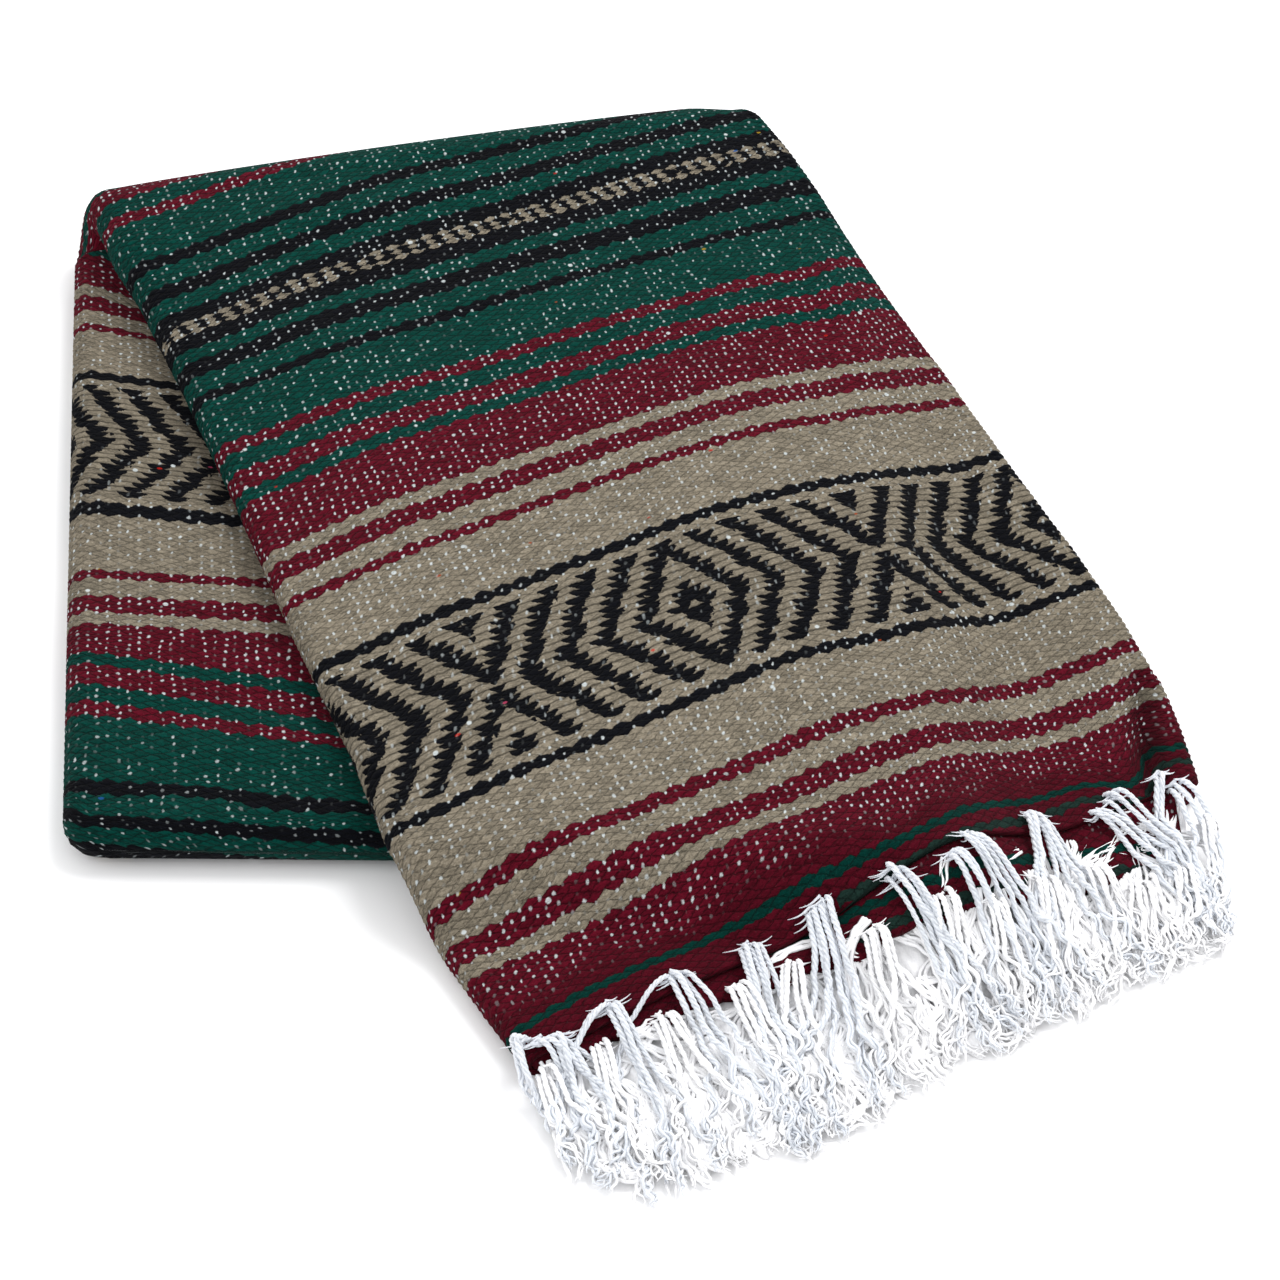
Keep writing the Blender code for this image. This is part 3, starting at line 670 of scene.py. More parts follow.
class Graph:
    """The nodes of one material."""

    def __init__(self, name):
        self.material = bpy.data.materials.new(name)
        self.material.use_nodes = True
        self.nodes = self.material.node_tree.nodes
        self.links = self.material.node_tree.links
        self.shader = self.nodes["Principled BSDF"]

    def put(self, socket, value):
        if isinstance(value, Wire):
            self.links.new(value.socket, socket)
        else:
            socket.default_value = value

    def node(self, kind, inputs, output=0, **facts):
        """The output of a new node."""
        made = self.nodes.new(kind)
        for key, value in facts.items():
            setattr(made, key, value)
        for key, value in inputs.items():
            self.put(made.inputs[key], value)
        return Wire(self, made.outputs[output])

    def math(self, kind, *values):
        return self.node("ShaderNodeMath", dict(enumerate(values)), operation=kind)

    def soft(self, value, low, high, to_low=0.0, to_high=1.0):
        """A soft step of value from low to high, which gives to_low to to_high."""
        inputs = dict(enumerate((value, low, high, to_low, to_high)))
        return self.node("ShaderNodeMapRange", inputs, interpolation_type="SMOOTHSTEP")

    def blend(self, share, a, b, kind="MIX"):
        return self.node("ShaderNodeMix", {0: share, 6: a, 7: b}, 2, data_type="RGBA", blend_type=kind)

    def ramp(self, value, stops):
        """Steps of flat colour."""
        made = self.node("ShaderNodeValToRGB", {0: value})
        bar = made.socket.node.color_ramp
        bar.interpolation = "CONSTANT"
        while len(bar.elements) > 1:
            bar.elements.remove(bar.elements[-1])
        bar.elements[0].position, bar.elements[0].color = stops[0]
        for place, colour in stops[1:]:
            bar.elements.new(place).color = colour
        return made

    def vector(self, x, y, z=0.0):
        return self.node("ShaderNodeCombineXYZ", {0: x, 1: y, 2: z})

    def shifted(self, vector, by):
        return self.node("ShaderNodeVectorMath", {0: vector, 1: by}, operation="ADD")

    def noise(self, vector, scale, detail=2.0, rough=0.5, output="Fac"):
        inputs = {"Vector": vector, "Scale": scale, "Detail": detail, "Roughness": rough}
        return self.node("ShaderNodeTexNoise", inputs, output)

    def spots(self, vector, scale):
        """The distance to the nearest of scattered spots, and that spot's colour."""
        near = self.node("ShaderNodeTexVoronoi", {"Vector": vector, "Scale": scale}, "Distance")
        return near, near.beside("Color")

    def parts(self, colour):
        """A colour's red, green and blue."""
        red = self.node("ShaderNodeSeparateColor", {0: colour})
        return red, red.beside(1), red.beside(2)

    def dice(self, x, y, seed):
        """Three random numbers for each whole x and y."""
        inputs = {"Vector": self.vector(x, y, seed)}
        return self.parts(self.node("ShaderNodeTexWhiteNoise", inputs, "Color", noise_dimensions="3D"))

    def weave(self):
        """The cloth coordinates, each as a wire."""
        across = self.node("ShaderNodeSeparateXYZ", {0: self.node("ShaderNodeUVMap", {}, uv_map="weave")})
        return across, across.beside(1)

    def place(self):
        return self.node("ShaderNodeTexCoord", {}, "Object")

    def surface(self, looks, relief=None):
        """Sets the shader's inputs, and its relief as height, strength and distance; gives the material."""
        for name, value in looks.items():
            self.put(self.shader.inputs[name], value)
        if relief:
            bump = self.node("ShaderNodeBump", dict(zip(("Height", "Strength", "Distance"), relief)))
            self.put(self.shader.inputs["Normal"], bump)
        return self.material


def srgb(red, green, blue):
    """A colour given as it looks on a screen, 0 to 255, in linear light."""
    share = np.array((red, green, blue)) / 255.0
    linear = np.where(share <= 0.04045, share / 12.92, ((share + 0.055) / 1.055) ** 2.4)
    return (*[float(x) for x in linear], 1.0)


GREEN = srgb(0, 52, 45)
MAROON = srgb(78, 8, 24)
TAN = srgb(118, 110, 96)
BLACK = srgb(7, 8, 13)
WHITE = srgb(186, 193, 194)
LINT = srgb(150, 152, 152)
STRAY_HUES = (
    (0.0, srgb(170, 30, 20)), (0.30, srgb(150, 60, 20)), (0.5, srgb(30, 80, 140)),
    (0.65, srgb(170, 60, 90)), (0.8, srgb(150, 120, 30)),
)
YARNS = {"G": GREEN, "M": MAROON, "T": TAN, "K": BLACK}
# Stripes from the middle of the patterned band to the middle of the dark band, as (yarn, width in mm)
OUTWARD = (
    ("T", 40.8), ("K", 6.4), ("T", 32.5), ("M", 5.8), ("T", 11.4), ("M", 10.4), ("T", 7.7), ("M", 31.9),
    ("G", 7.3), ("M", 11.1), ("G", 10.0), ("M", 7.5), ("G", 27.8), ("K", 6.3), ("G", 12.3), ("K", 9.1),
    ("G", 10.3), ("K", 14.7),
)
LOWER_OUTWARD = tuple((yarn, {7: 21.0, 12: 32.0}.get(k, width)) for k, (yarn, width) in enumerate(OUTWARD))
HEMWARD = OUTWARD[:7] + (("M", 26.2), ("G", 4.0), ("M", 44.0))
LAST_MM = (150.8, 154.4)  # a last green stripe, woven in only on the right, from LAST_WARP on
LAST_WARP = 34.0
BAND_MM = 40.8  # from the patterned band's middle to its black border
BAND_EDGE_MM = 3.6  # plain cloth between the pattern and the border
CHAIN_MM = 5.2  # half the height of the dark band's tan crosses
CHAIN_ROW_MM = 3.47  # height of each of their three rows
DARK_MM = 263.2  # from the patterned band's middle to the dark band's
HALF_REPEAT = 21.0  # warps from the middle of a diamond to the middle of the cross beside it
BAND_SLOPE = 0.27  # warps that the patterned band's zigzags move for each pick
ZIGZAG = 4.1  # warps from one zigzag to the next
FIRST_ZIGZAG = 3.27  # warps from the diamond's middle to the middle of its first tan ring
DENSE_MM = 124.0  # from here to the hem the weft is beaten so close that it hides the warps


def stripe_ramp(g, share, stripes, longest):
    """The yarns' colours in stripes of these widths in mm, by the share of the longest distance."""
    stops, place = [], 0.0
    for yarn, width in stripes:
        stops.append((place / longest, YARNS[yarn]))
        place += width
    return g.ramp(share, stops)


class Weave(Graph):
    """A falsa cloth's material: wool floats over hidden warps, beaten close near the hem where it has one."""

    def __init__(self, name, outward, hemward=None, dark_mm=DARK_MM, centre=CENTRE_WARP):
        super().__init__(name)
        self.outward, self.hemward, self.dark_mm, self.centre = outward, hemward, dark_mm, centre
        self.find_floats()
        self.beat_close()
        colour = self.striped()
        colour = self.patterned(colour)
        colour = self.crossed(colour)
        self.fibre = self.noise(self.vector(self.x * 3.0, self.y * 3.6, self.one * 30.0), 1.0, 2.5, 0.75)
        red, green, _ = self.parts(colour)
        self.is_dark = self.soft(red, 0.05, 0.02)
        self.is_tan = self.soft(self.math("MINIMUM", red, green), 0.02, 0.07)
        colour = self.shaded(colour)
        colour = self.strayed(colour)
        colour = self.dotted(colour)
        self.lumped(colour)

    def find_floats(self):
        """Which float of the weave covers a spot, and which warp shows nearest to it."""
        x, y = self.weave()
        mm = self.mm = self.vector(x * WARP_MM, y * PICK_MM)
        wobble = self.noise(mm, 0.11, 1.0)
        wobble_two = self.noise(self.shifted(mm, (31.7, 5.1, 0.0)), 0.14, 2.0)
        thread = self.thread = self.noise(mm, 0.55, 2.0, 0.7)
        thread_two = self.noise(self.shifted(mm, (9.7, 3.3, 4.0)), 0.6, 2.0, 0.7)
        self.x = x + ((wobble - 0.5) * 0.5 + (thread - 0.5) * 0.30)
        self.y = y + ((wobble_two - 0.5) * 1.5 + (thread_two - 0.5) * 0.75)
        warp, line = self.math("FLOOR", self.x), self.math("FLOOR", self.y)
        fx, fy = self.x - warp, self.y - line
        odd = (warp + line) % 2.0
        gx = pick(odd, fx, 1.0 - fx)
        far = gx + fy > 1.0
        self.row = line + far
        self.from_float = gx - far, fy - far
        self.one, _, _ = self.dice(warp + pick(odd, far, 1.0 - far), self.row, 0.5)
        above = fy > gx
        ex = gx - (1.0 - above)
        self.from_dot = pick(odd, ex, ex * -1.0), fy - above
        self.dot_dice = self.dice(warp + pick(odd, 1.0 - above, above), line + above, 3.5)

    def beat_close(self):
        """How close the weft is beaten, from 0 to 1, and the pick whose stripe a spot shows."""
        self.close = 0.0
        self.pick_shown = self.row
        if self.hemward:
            drift = self.noise(self.mm, 0.05, 2.0)
            near_hem = self.y * PICK_MM + (drift - 0.5) * 20.0
            self.close = self.soft(near_hem, DENSE_MM, DENSE_MM + 14.0)
            self.pick_shown = self.row + (self.y - self.row) * (self.close * 0.45)

    def striped(self):
        along = self.pick_shown * PICK_MM
        self.away = abs(along)
        folded = self.math("MINIMUM", self.away, 2.0 * self.dark_mm - self.away)
        colour = stripe_ramp(self, folded / self.dark_mm, self.outward, self.dark_mm)
        if self.hemward:
            longest = sum(width for _, width in self.hemward)
            hem = stripe_ramp(self, self.away / longest, self.hemward, longest)
            colour = self.blend(along > 0.0, colour, hem)
            last = (along > LAST_MM[0]) * (along < LAST_MM[1]) * (self.x > LAST_WARP)
            colour = self.blend(last * 0.85, colour, GREEN)
        return colour

    def patterned(self, colour):
        """Diamonds and zigzags. Two picks show as one row, narrow at its top and pointed at its foot."""
        half = (self.y + 1.0) * 0.5
        pair = self.math("FLOOR", half)
        down = self.down = half - pair
        depth = abs(pair) * 2.0
        side = abs((self.x - self.centre + HALF_REPEAT) % (2.0 * HALF_REPEAT) - HALF_REPEAT)
        lot, lot_two, _ = self.dice(self.math("FLOOR", (self.x + pair) * 0.25), pair, 9.5)
        phase = side + depth * BAND_SLOPE + (lot - 0.5) * 0.7 - FIRST_ZIGZAG
        phase = (phase + ZIGZAG / 2.0) % ZIGZAG - ZIGZAG / 2.0
        spread = self.math("POWER", down, 2.0)
        bow = 0.62 + spread * 0.80 + lot_two * 0.30
        strand = bow + (self.thread - 0.5) * 0.8 > abs(phase)
        strand = strand * (side + depth * 0.36 > 2.1)
        eye = 0.25 + spread * 0.65 > side + (depth > 1.0) * 9.0
        self.strand = self.math("MAXIMUM", strand, eye)
        inside = depth * PICK_MM < BAND_MM - BAND_EDGE_MM
        self.banded = self.away < BAND_MM - BAND_EDGE_MM
        return self.blend((1.0 - self.strand) * inside, colour, BLACK)

    def crossed(self, colour):
        """The dark band's chain of small tan crosses, three rows high."""
        from_dark = abs(self.y * PICK_MM) - self.dark_mm
        third = (from_dark + CHAIN_MM) / CHAIN_ROW_MM
        row = self.math("FLOOR", third)
        full = 1.0 - abs(self.math("FRACT", third) * 2.0 - 1.0)
        outer = abs(row - 1.0)
        across = (self.x + 0.4 + row * 0.22) % 2.0 - 1.0
        wide = 0.17 + (0.50 + outer * 0.22) * full
        wide = wide + ((self.thread - 0.5) * 0.9 + (self.one - 0.5) * 0.16)
        chain = (wide > abs(across)) * (abs(from_dark) < CHAIN_MM) * (self.one > 0.05)
        return self.blend(chain, colour, TAN)

    def shaded(self, colour):
        """Each float's own shade, painted shade in the valleys between floats and between the band's rows,
        and the yarn's fibres and mixed colours.
        """
        rough = self.fibre - 0.5
        dx, dy = self.from_float
        self.edge = 1.0 - (abs(dx) + abs(dy))
        # Painted shade: the colour is darkened in the valleys between floats and between the band's rows,
        # where the relief is low
        deepest = 0.50 + self.is_tan * 0.18 + self.close * 0.15
        valley = deepest + (1.0 - deepest) * self.soft(self.edge + rough * 0.5, 0.0, 0.36)
        row_valley = self.soft(abs(self.down - 0.5) + rough * 0.25, 0.5, 0.28, 0.34, 1.08)
        valley = pick(self.banded * self.strand, valley, row_valley)
        shade = 0.80 + self.one * 0.34 + rough * (2.1 + self.is_tan * 0.3)
        shade = self.math("MAXIMUM", shade, 0.22) * valley
        shade = shade * (1.0 - self.close * 0.28)
        shade = shade * pick(self.banded, 1.0, 0.92)
        # Painted shade: the colour is darkened in the sharp crease by the mask on the upper leg's points
        painted_crease_shade = self.node("ShaderNodeAttribute", {}, "Fac", attribute_name="painted_crease_shade")
        # Painted shade: the lower leg's cloth, the one without hemward stripes, is darkened to 0.94 against
        # the upper leg's 0.98, as for a leg that gets less light
        shade = shade * ((1.0 - painted_crease_shade * 0.62) * (0.98 if self.hemward else 0.94))
        mix = self.noise(self.vector(self.x * 2.4, self.y * 1.6, 7.0), 1.0, 2.0, 0.7, "Color")
        tint = self.blend(0.24 + self.is_tan * 0.22, (1.0, 1.0, 1.0, 1.0), mix, "OVERLAY")
        tint = self.blend(1.0, tint, self.vector(shade, shade, shade), "MULTIPLY")
        colour = self.blend(1.0, colour, tint, "MULTIPLY")
        lint = self.soft(self.noise(self.mm, 1.1, 2.0, 0.75), 0.62, 0.80, 0.0, 0.08)
        return self.blend(lint, colour, LINT)

    def strayed(self, colour):
        """Stray bits of other yarn."""
        squashed = self.node("ShaderNodeVectorMath", {0: self.mm, 1: (0.9, 1.4, 1.0)}, operation="MULTIPLY")
        near, own = self.spots(squashed, 0.052)
        lot, hue_lot, _ = self.parts(own)
        bit = self.soft(near + (self.fibre - 0.5) * 0.05, 0.062, 0.04) * (lot > 0.70)
        return self.blend(bit * 0.75, colour, self.ramp(hue_lot, STRAY_HUES))

    def dotted(self, colour):
        """White warps, seen where they rise between floats."""
        lot, lot_two, lot_three = self.dot_dice
        ex, ey = self.from_dot
        off_x = ex + ey * (0.02 + lot_three * 0.08) + (lot_two - 0.5) * 0.34
        off_y = ey + (lot - 0.5) * 0.60
        px = off_x / (0.105 + lot * 0.060)
        py = off_y / (pick(self.banded, 0.29, 0.46) + lot_two * 0.20)
        off = self.math("SQRT", px * px + py * py)
        patchy = self.noise(self.mm, 0.06, 2.0)
        chance = pick(self.banded, 0.05, 0.38) + (patchy - 0.5) * 0.9
        on_tan, on_dark = (0.12, 0.31) if self.hemward else (0.20, 0.42)
        chance = chance + (self.is_tan * on_tan + self.is_dark * on_dark)
        seen = self.soft(lot_three, chance, chance + 0.75)
        dot = self.soft(off, 1.45, 0.45) * seen * (1.0 - self.close)
        return self.blend(dot * 0.95, colour, WHITE)

    def lumped(self, colour):
        """White slubs spun into the weft, and the whole cloth's surface."""
        near, own = self.spots(self.mm, 0.062)
        lump = self.soft(near + (self.fibre - 0.5) * 0.06, 0.084, 0.05) * (self.parts(own)[0] > 0.46)
        lump = lump * (1.0 - self.close * 0.7)
        colour = self.blend(lump * 0.88, colour, WHITE)
        looks = {
            "Base Color": colour, "Roughness": 0.95, "Specular IOR Level": 0.03,
            "Sheen Weight": 0.015, "Sheen Roughness": 0.6,
        }
        inward = 1.0 - self.edge
        rounded = self.math("SQRT", self.math("MAXIMUM", 1.0 - inward * inward, 0.0))
        self.surface(looks, (rounded * 0.8 + self.fibre * 0.45, 0.8, 0.0009))


def cotton_material(name, colour, shadow, glow):
    """Bleached cotton yarn: fibres along it, with painted shade, the slightly grey shadow colour, in the
    hollows of their bump.
    """
    g = Graph(name)
    along, around = g.weave()
    fibre = g.noise(g.vector(along * 0.6, around * 9.0), 1.0, 3.0, 0.7)
    looks = {
        "Base Color": g.blend(g.soft(fibre, 0.35, 0.7), shadow, colour), "Roughness": 0.9,
        "Specular IOR Level": 0.15, "Sheen Weight": 0.15, "Subsurface Weight": glow,
        "Subsurface Radius": (1.0, 1.0, 1.0), "Subsurface Scale": 0.004,
    }
    return g.surface(looks, (fibre, 0.5, 0.0004))


def plain_weave(name, colour):
    """Unseen inner cloth: one colour with a fine noise grain."""
    g = Graph(name)
    grain = g.noise(g.place(), 900.0, 3.0, 0.7)
    # Painted shade: a darker copy of the colour where the grain, which is also the bump's height, is low
    dark = (*[0.35 * part for part in colour[:3]], 1.0)
    shade = g.blend(g.soft(grain, 0.3, 0.7), dark, colour)
    looks = {"Base Color": shade, "Roughness": 0.95, "Specular IOR Level": 0.08}
    return g.surface(looks, (grain, 0.6, 0.0006))


def floor_material():
    g = Graph("floor_white")
    grain = g.noise(g.place(), 40.0, 3.0)
    colour = g.blend(grain * 0.04, srgb(246, 246, 247), srgb(232, 232, 234))
    return g.surface({"Base Color": colour, "Roughness": 0.8})


# ---------------------------------------------------------------- cloth
upper_cloth = Weave("falsa_upper", OUTWARD, HEMWARD).material
lower_dark_mm = sum(width for _, width in LOWER_OUTWARD)
lower_cloth = Weave("falsa_lower", LOWER_OUTWARD, None, lower_dark_mm, LOWER_CENTRE_WARP).material


def relief_weight(z, cells, fine_top):
    """The weave stands up only round the edge rolls of the fine face, which show against what is behind."""
    first, last = fine_columns(cells, fine_top)
    left_roll = cells[2]
    weight = np.zeros_like(z)
    if fine_top:
        weight[:, 1 : first + 1] = 1.0
        weight[:, last : last + left_roll] = 1.0
    else:
        weight[:, first - left_roll : first] = 1.0
        weight[:, last - 1 :] = 1.0
    return weight * smooth((z - 0.0005) / 0.003)


UPPER_ROWS_FINE = 560
FOLD_ROWS_FINE = 84
angles = np.linspace(pi, 0.0, FOLD_ROWS_FINE + 1)[:-1]
fold = fold_sheet(angles, FINE_TOP)
leg = upper_sheet(np.linspace(0.0, 1.0, UPPER_ROWS_FINE + 1), FINE_TOP)
points = np.concatenate([fold.points, leg.points])
w = np.concatenate([warps_round(sheet, FINE_TOP, True) for sheet in (fold, leg)])
round_fold = (FOLD_RADIUS - STRIP_THICK + fold.heights) * angles[:, None] * 1000.0
p = np.concatenate([upper_pattern(fold.seen) - round_fold, upper_pattern(leg.seen)]) / PICK_MM
fine = raised(points, w, p, relief_weight(points[..., 2], FINE_TOP, True))
inner_leg = upper_sheet(np.linspace(0.0, 1.0, 121), COARSE, PLY).points
inner_leg[..., 2] += creased_only(inner_leg[..., :2], DEEP_CREASE) * smooth(inner_leg[..., 2] / 0.010 - 0.6)
inner_fold = fold_sheet(np.linspace(pi, 0.0, 11)[:-1], COARSE, PLY).points
upper_piece = add_tube("upper_cloth", fine, w, p, np.concatenate([inner_fold, inner_leg]), upper_cloth)

# Painted shade in the sharp crease beside the hem's rolled corner: a mask on the upper leg's points that
# darkens the cloth's colour there, full from HOLLOW_DEPTH on
HOLLOW_DEPTH = 0.0080
plan = np.array([vertex.co[:2] for vertex in upper_piece.data.vertices])
depth = -creased_only(plan, UPPER_CREASES[SHARP_CREASE : SHARP_CREASE + 1]) / HOLLOW_DEPTH
painted_crease_shade = upper_piece.data.attributes.new("painted_crease_shade", "FLOAT", "POINT")
painted_crease_shade.data.foreach_set("value", np.clip(depth, 0.0, 1.0).astype(np.float32))

LOWER_ROWS_FINE = 400
NOSE_ROWS = 18
END_BLEND = 0.020  # over which the picks start to run on round the bottom fold
flat_places = np.linspace(LOWER_LEFT - GAP, MIDDLE, LOWER_ROWS_FINE + 1)
low = lower_sheet(flat_places, np.radians(np.linspace(0.0, 86.0, NOSE_ROWS + 1)[1:]), FINE_UNDER)
w = warps_round(low, FINE_UNDER, False)
z = low.points[..., 2]
round_end = MIDDLE * 1000.0 * np.arccos(np.clip((z - MIDDLE) / MIDDLE, -1.0, 1.0))
before_end = np.concatenate([flat_places, np.zeros(NOSE_ROWS)])
near_end = smooth((MIDDLE + END_BLEND - before_end) / END_BLEND)
p = (lower_pattern(low.seen) + round_end * near_end[:, None]) / PICK_MM
fine = raised(low.points, w, p, relief_weight(z, FINE_UNDER, False))
coarse_places = np.linspace(LOWER_LEFT - GAP, MIDDLE, 31)
coarse_nose = np.radians((20.0, 40.0, 58.0, 72.0, 84.0))
inner_low = lower_sheet(coarse_places, coarse_nose, COARSE, PLY).points
lower_piece = add_tube("lower_cloth", fine, w, p, inner_low, lower_cloth, closed_end=True)

# ---------------------------------------------------------------- hidden layers
CORE_INSET = PLY + GAP + 0.0003
core_alongs = np.linspace(1.0, 0.0, 81)[:-1]
core = upper_sheet(core_alongs, COARSE, CORE_INSET)
core_leg = core.points.copy()
dent = (PLY + GAP) * smooth((core_alongs - 0.80) / 0.07)[:, None]
dent = dent * smooth(core.places / 0.012 - 1.0) * smooth((core.width - core.places) / 0.012 - 1.0)
over = smooth(core.heights / 0.008 - 0.8)
core_leg[..., 2] -= dent * over
core_leg[..., 2] += 1.4 * creased_only(core_leg[..., :2], DEEP_CREASE) * over
core_fold = fold_sheet(np.linspace(0.0, pi, 13), COARSE, CORE_INSET).points
core_low = lower_sheet(coarse_places[1:], coarse_nose, COARSE, CORE_INSET).points
inner_maroon = plain_weave("inner_maroon", MAROON)
core_piece = add_solid("inner_layers", np.concatenate([core_leg, core_fold, core_low]), inner_maroon)

# ---------------------------------------------------------------- the hem, the layer under it and the fringe
HEM_LEFT, HEM_RIGHT = upper_line(1.0)


def fringe_reach(across):
    return np.interp(across, FRINGE_ROWS[:, 0], FRINGE_ROWS[:, 1])


def fringe_turn(across):
    return np.interp(across, FRINGE_ROWS[:, 0], FRINGE_ROWS[:, 2])


def hem_spot(across, along):
    """Plan point and height of the upper leg's top, at shares of the way across and along."""
    across, along = np.broadcast_arrays(np.asarray(across, float), np.asarray(along, float))
    left, right = upper_line(along)
    thick = upper_thick(along)
    width = np.linalg.norm(right - left, axis=-1)
    place = thick[0] / 2.0 + (width - thick[0] / 2.0 - thick[2] / 4.0) * across
    spot = left + (right - left) * (place / width)[..., None]
    return spot, underside(spot) + thickness(place, width, thick)


def hem_point(across, past):
    """Plan point at a distance past the hem, or where past is negative at that share of the leg before it."""
    across, past = np.broadcast_arrays(np.asarray(across, float), np.asarray(past, float))
    turn = np.radians(fringe_turn(across))
    spot = hem_spot(across, 1.0 + np.minimum(past, 0.0))[0]
    return spot + np.stack([np.sin(turn), -np.cos(turn)], axis=-1) * np.maximum(past, 0.0)[..., None]


def layer_past(across):
    """How far the second layer shows past the hem."""
    return LAYER_REACH + LAYER_MORE * smooth(across / 0.8)


def pile_top(across, past):
    """Height of the pile of fringe under both hems."""
    start = hem_spot(across, 1.0)[1] - 2.0 * PLY - 3.0 * GAP
    return PILE_TIP + (start - PILE_TIP) * (1.0 - smooth(past / fringe_reach(across)))


# Where the second layer's stripes lie along the run, in mm, at shares of the width
SECOND_ACROSS = (0.0, 0.35, 0.45, 0.50, 0.55, 0.66, 0.75, 0.80, 0.86, 0.96)
HEM_STRIPE_MM = 143.2  # the stripe that lies there
SECOND_STRIPE_MM = (163.0, 158.6, 160.1, 163.6, 166.0, 164.4, 161.0, 164.0, 170.0, 166.0)


def second_layer():
    """The second layer: plan points, heights of its underside, and cloth coordinates."""
    across = np.linspace(0.03, 0.97, 61)
    before = np.linspace(-0.10, 0.0, 21)[:-1, None]
    reach = layer_past(across) + 0.0012 * np.sin(across * 47.0) + 0.0009 * np.sin(across * 113.0 + 1.0)
    past = np.concatenate([before + 0.0 * across, np.linspace(0.0, 1.0, 26)[:, None] * reach])
    across = across + 0.0 * past
    spots = hem_point(across, past)
    under_hem = hem_spot(across, 1.0 + np.minimum(past, 0.0))[1] - 2.0 * PLY - GAP
    sunk = np.minimum(creased(spots, UPPER_CREASES), 0.0) * 1.05 - 0.0003
    wave = 0.0010 * np.sin(across * 38.0 + 0.5) * smooth(past / 0.01)
    low = np.where(past <= 0.0, under_hem + sunk, pile_top(across, past) + GAP + wave)
    share, run = on_strip(spots)
    past_stripe = (run * 1000.0 - np.interp(share, SECOND_ACROSS, SECOND_STRIPE_MM)) * 0.85
    return spots, low, across * 77.0 + 1.0, (HEM_STRIPE_MM + past_stripe) / PICK_MM


second_spots, second_low, second_w, second_p = second_layer()
second_piece = add_leaf("second_cloth", second_spots, second_low, PLY, second_w, second_p, upper_cloth)

random = np.random.default_rng(20)
draw = random.uniform


def wander(along, wave):
    """A smooth uneven wave of unit size along a length, in metres."""
    total = np.zeros_like(along)
    for _ in range(3):
        length = wave * draw(0.6, 1.7)
        size, phase = draw(0.4, 1.0), draw(0.0, 2.0 * pi)
        total = total + size * np.sin(2.0 * pi * along / length + phase)
    return total / 1.6


# Where the fringe ends: distance along the run from the band's middle, at shares of the width, and its sides
END_SHARE = (0.040, 0.060, 0.086, 0.150, 0.268, 0.400, 0.543, 0.683, 0.799, 0.860, 0.910)
END_RUN = (0.2200, 0.2300, 0.2385, 0.2447, 0.2468, 0.2409, 0.2309, 0.2246, 0.2195, 0.2200, 0.2100)
SIDE_RUN = (0.150, 0.174, 0.198, 0.2226)
SIDE_SHARE = (0.950, 0.930, 0.895, 0.850)
LEFT_SHARE = 0.034
PLIES = 3


def within(path, slack):
    """A path kept inside the fringe's outline in plan: cut at its end, pushed back at its sides."""
    share, run = on_strip(path[:, :2])
    low, high = LEFT_SHARE, np.interp(run, SIDE_RUN, SIDE_SHARE)
    kept = np.where(share < low, low + (share - low) * 0.15, share)
    kept = np.where(kept > high, high + (kept - high) * 0.15, kept)
    path[:, :2] += ((kept - share) * STRIP_WIDTH)[:, None] * UPPER_ACROSS
    past_end = np.nonzero(run > np.interp(kept, END_SHARE, END_RUN) + slack)[0]
    return path[: max(int(past_end[0]), 8)] if len(past_end) else path


def distances(path):
    """How far along a path each of its points lies."""
    return np.concatenate([[0.0], np.cumsum(np.linalg.norm(np.diff(path, axis=0), axis=1))])


def frame_of(path):
    """Unit vectors along a path and level to its side."""
    tangent = unit(np.gradient(path, axis=0))
    return tangent, unit(np.cross(tangent, (0.0, 0.0, 1.0)) + np.array((1e-6, 0.0, 0.0)))


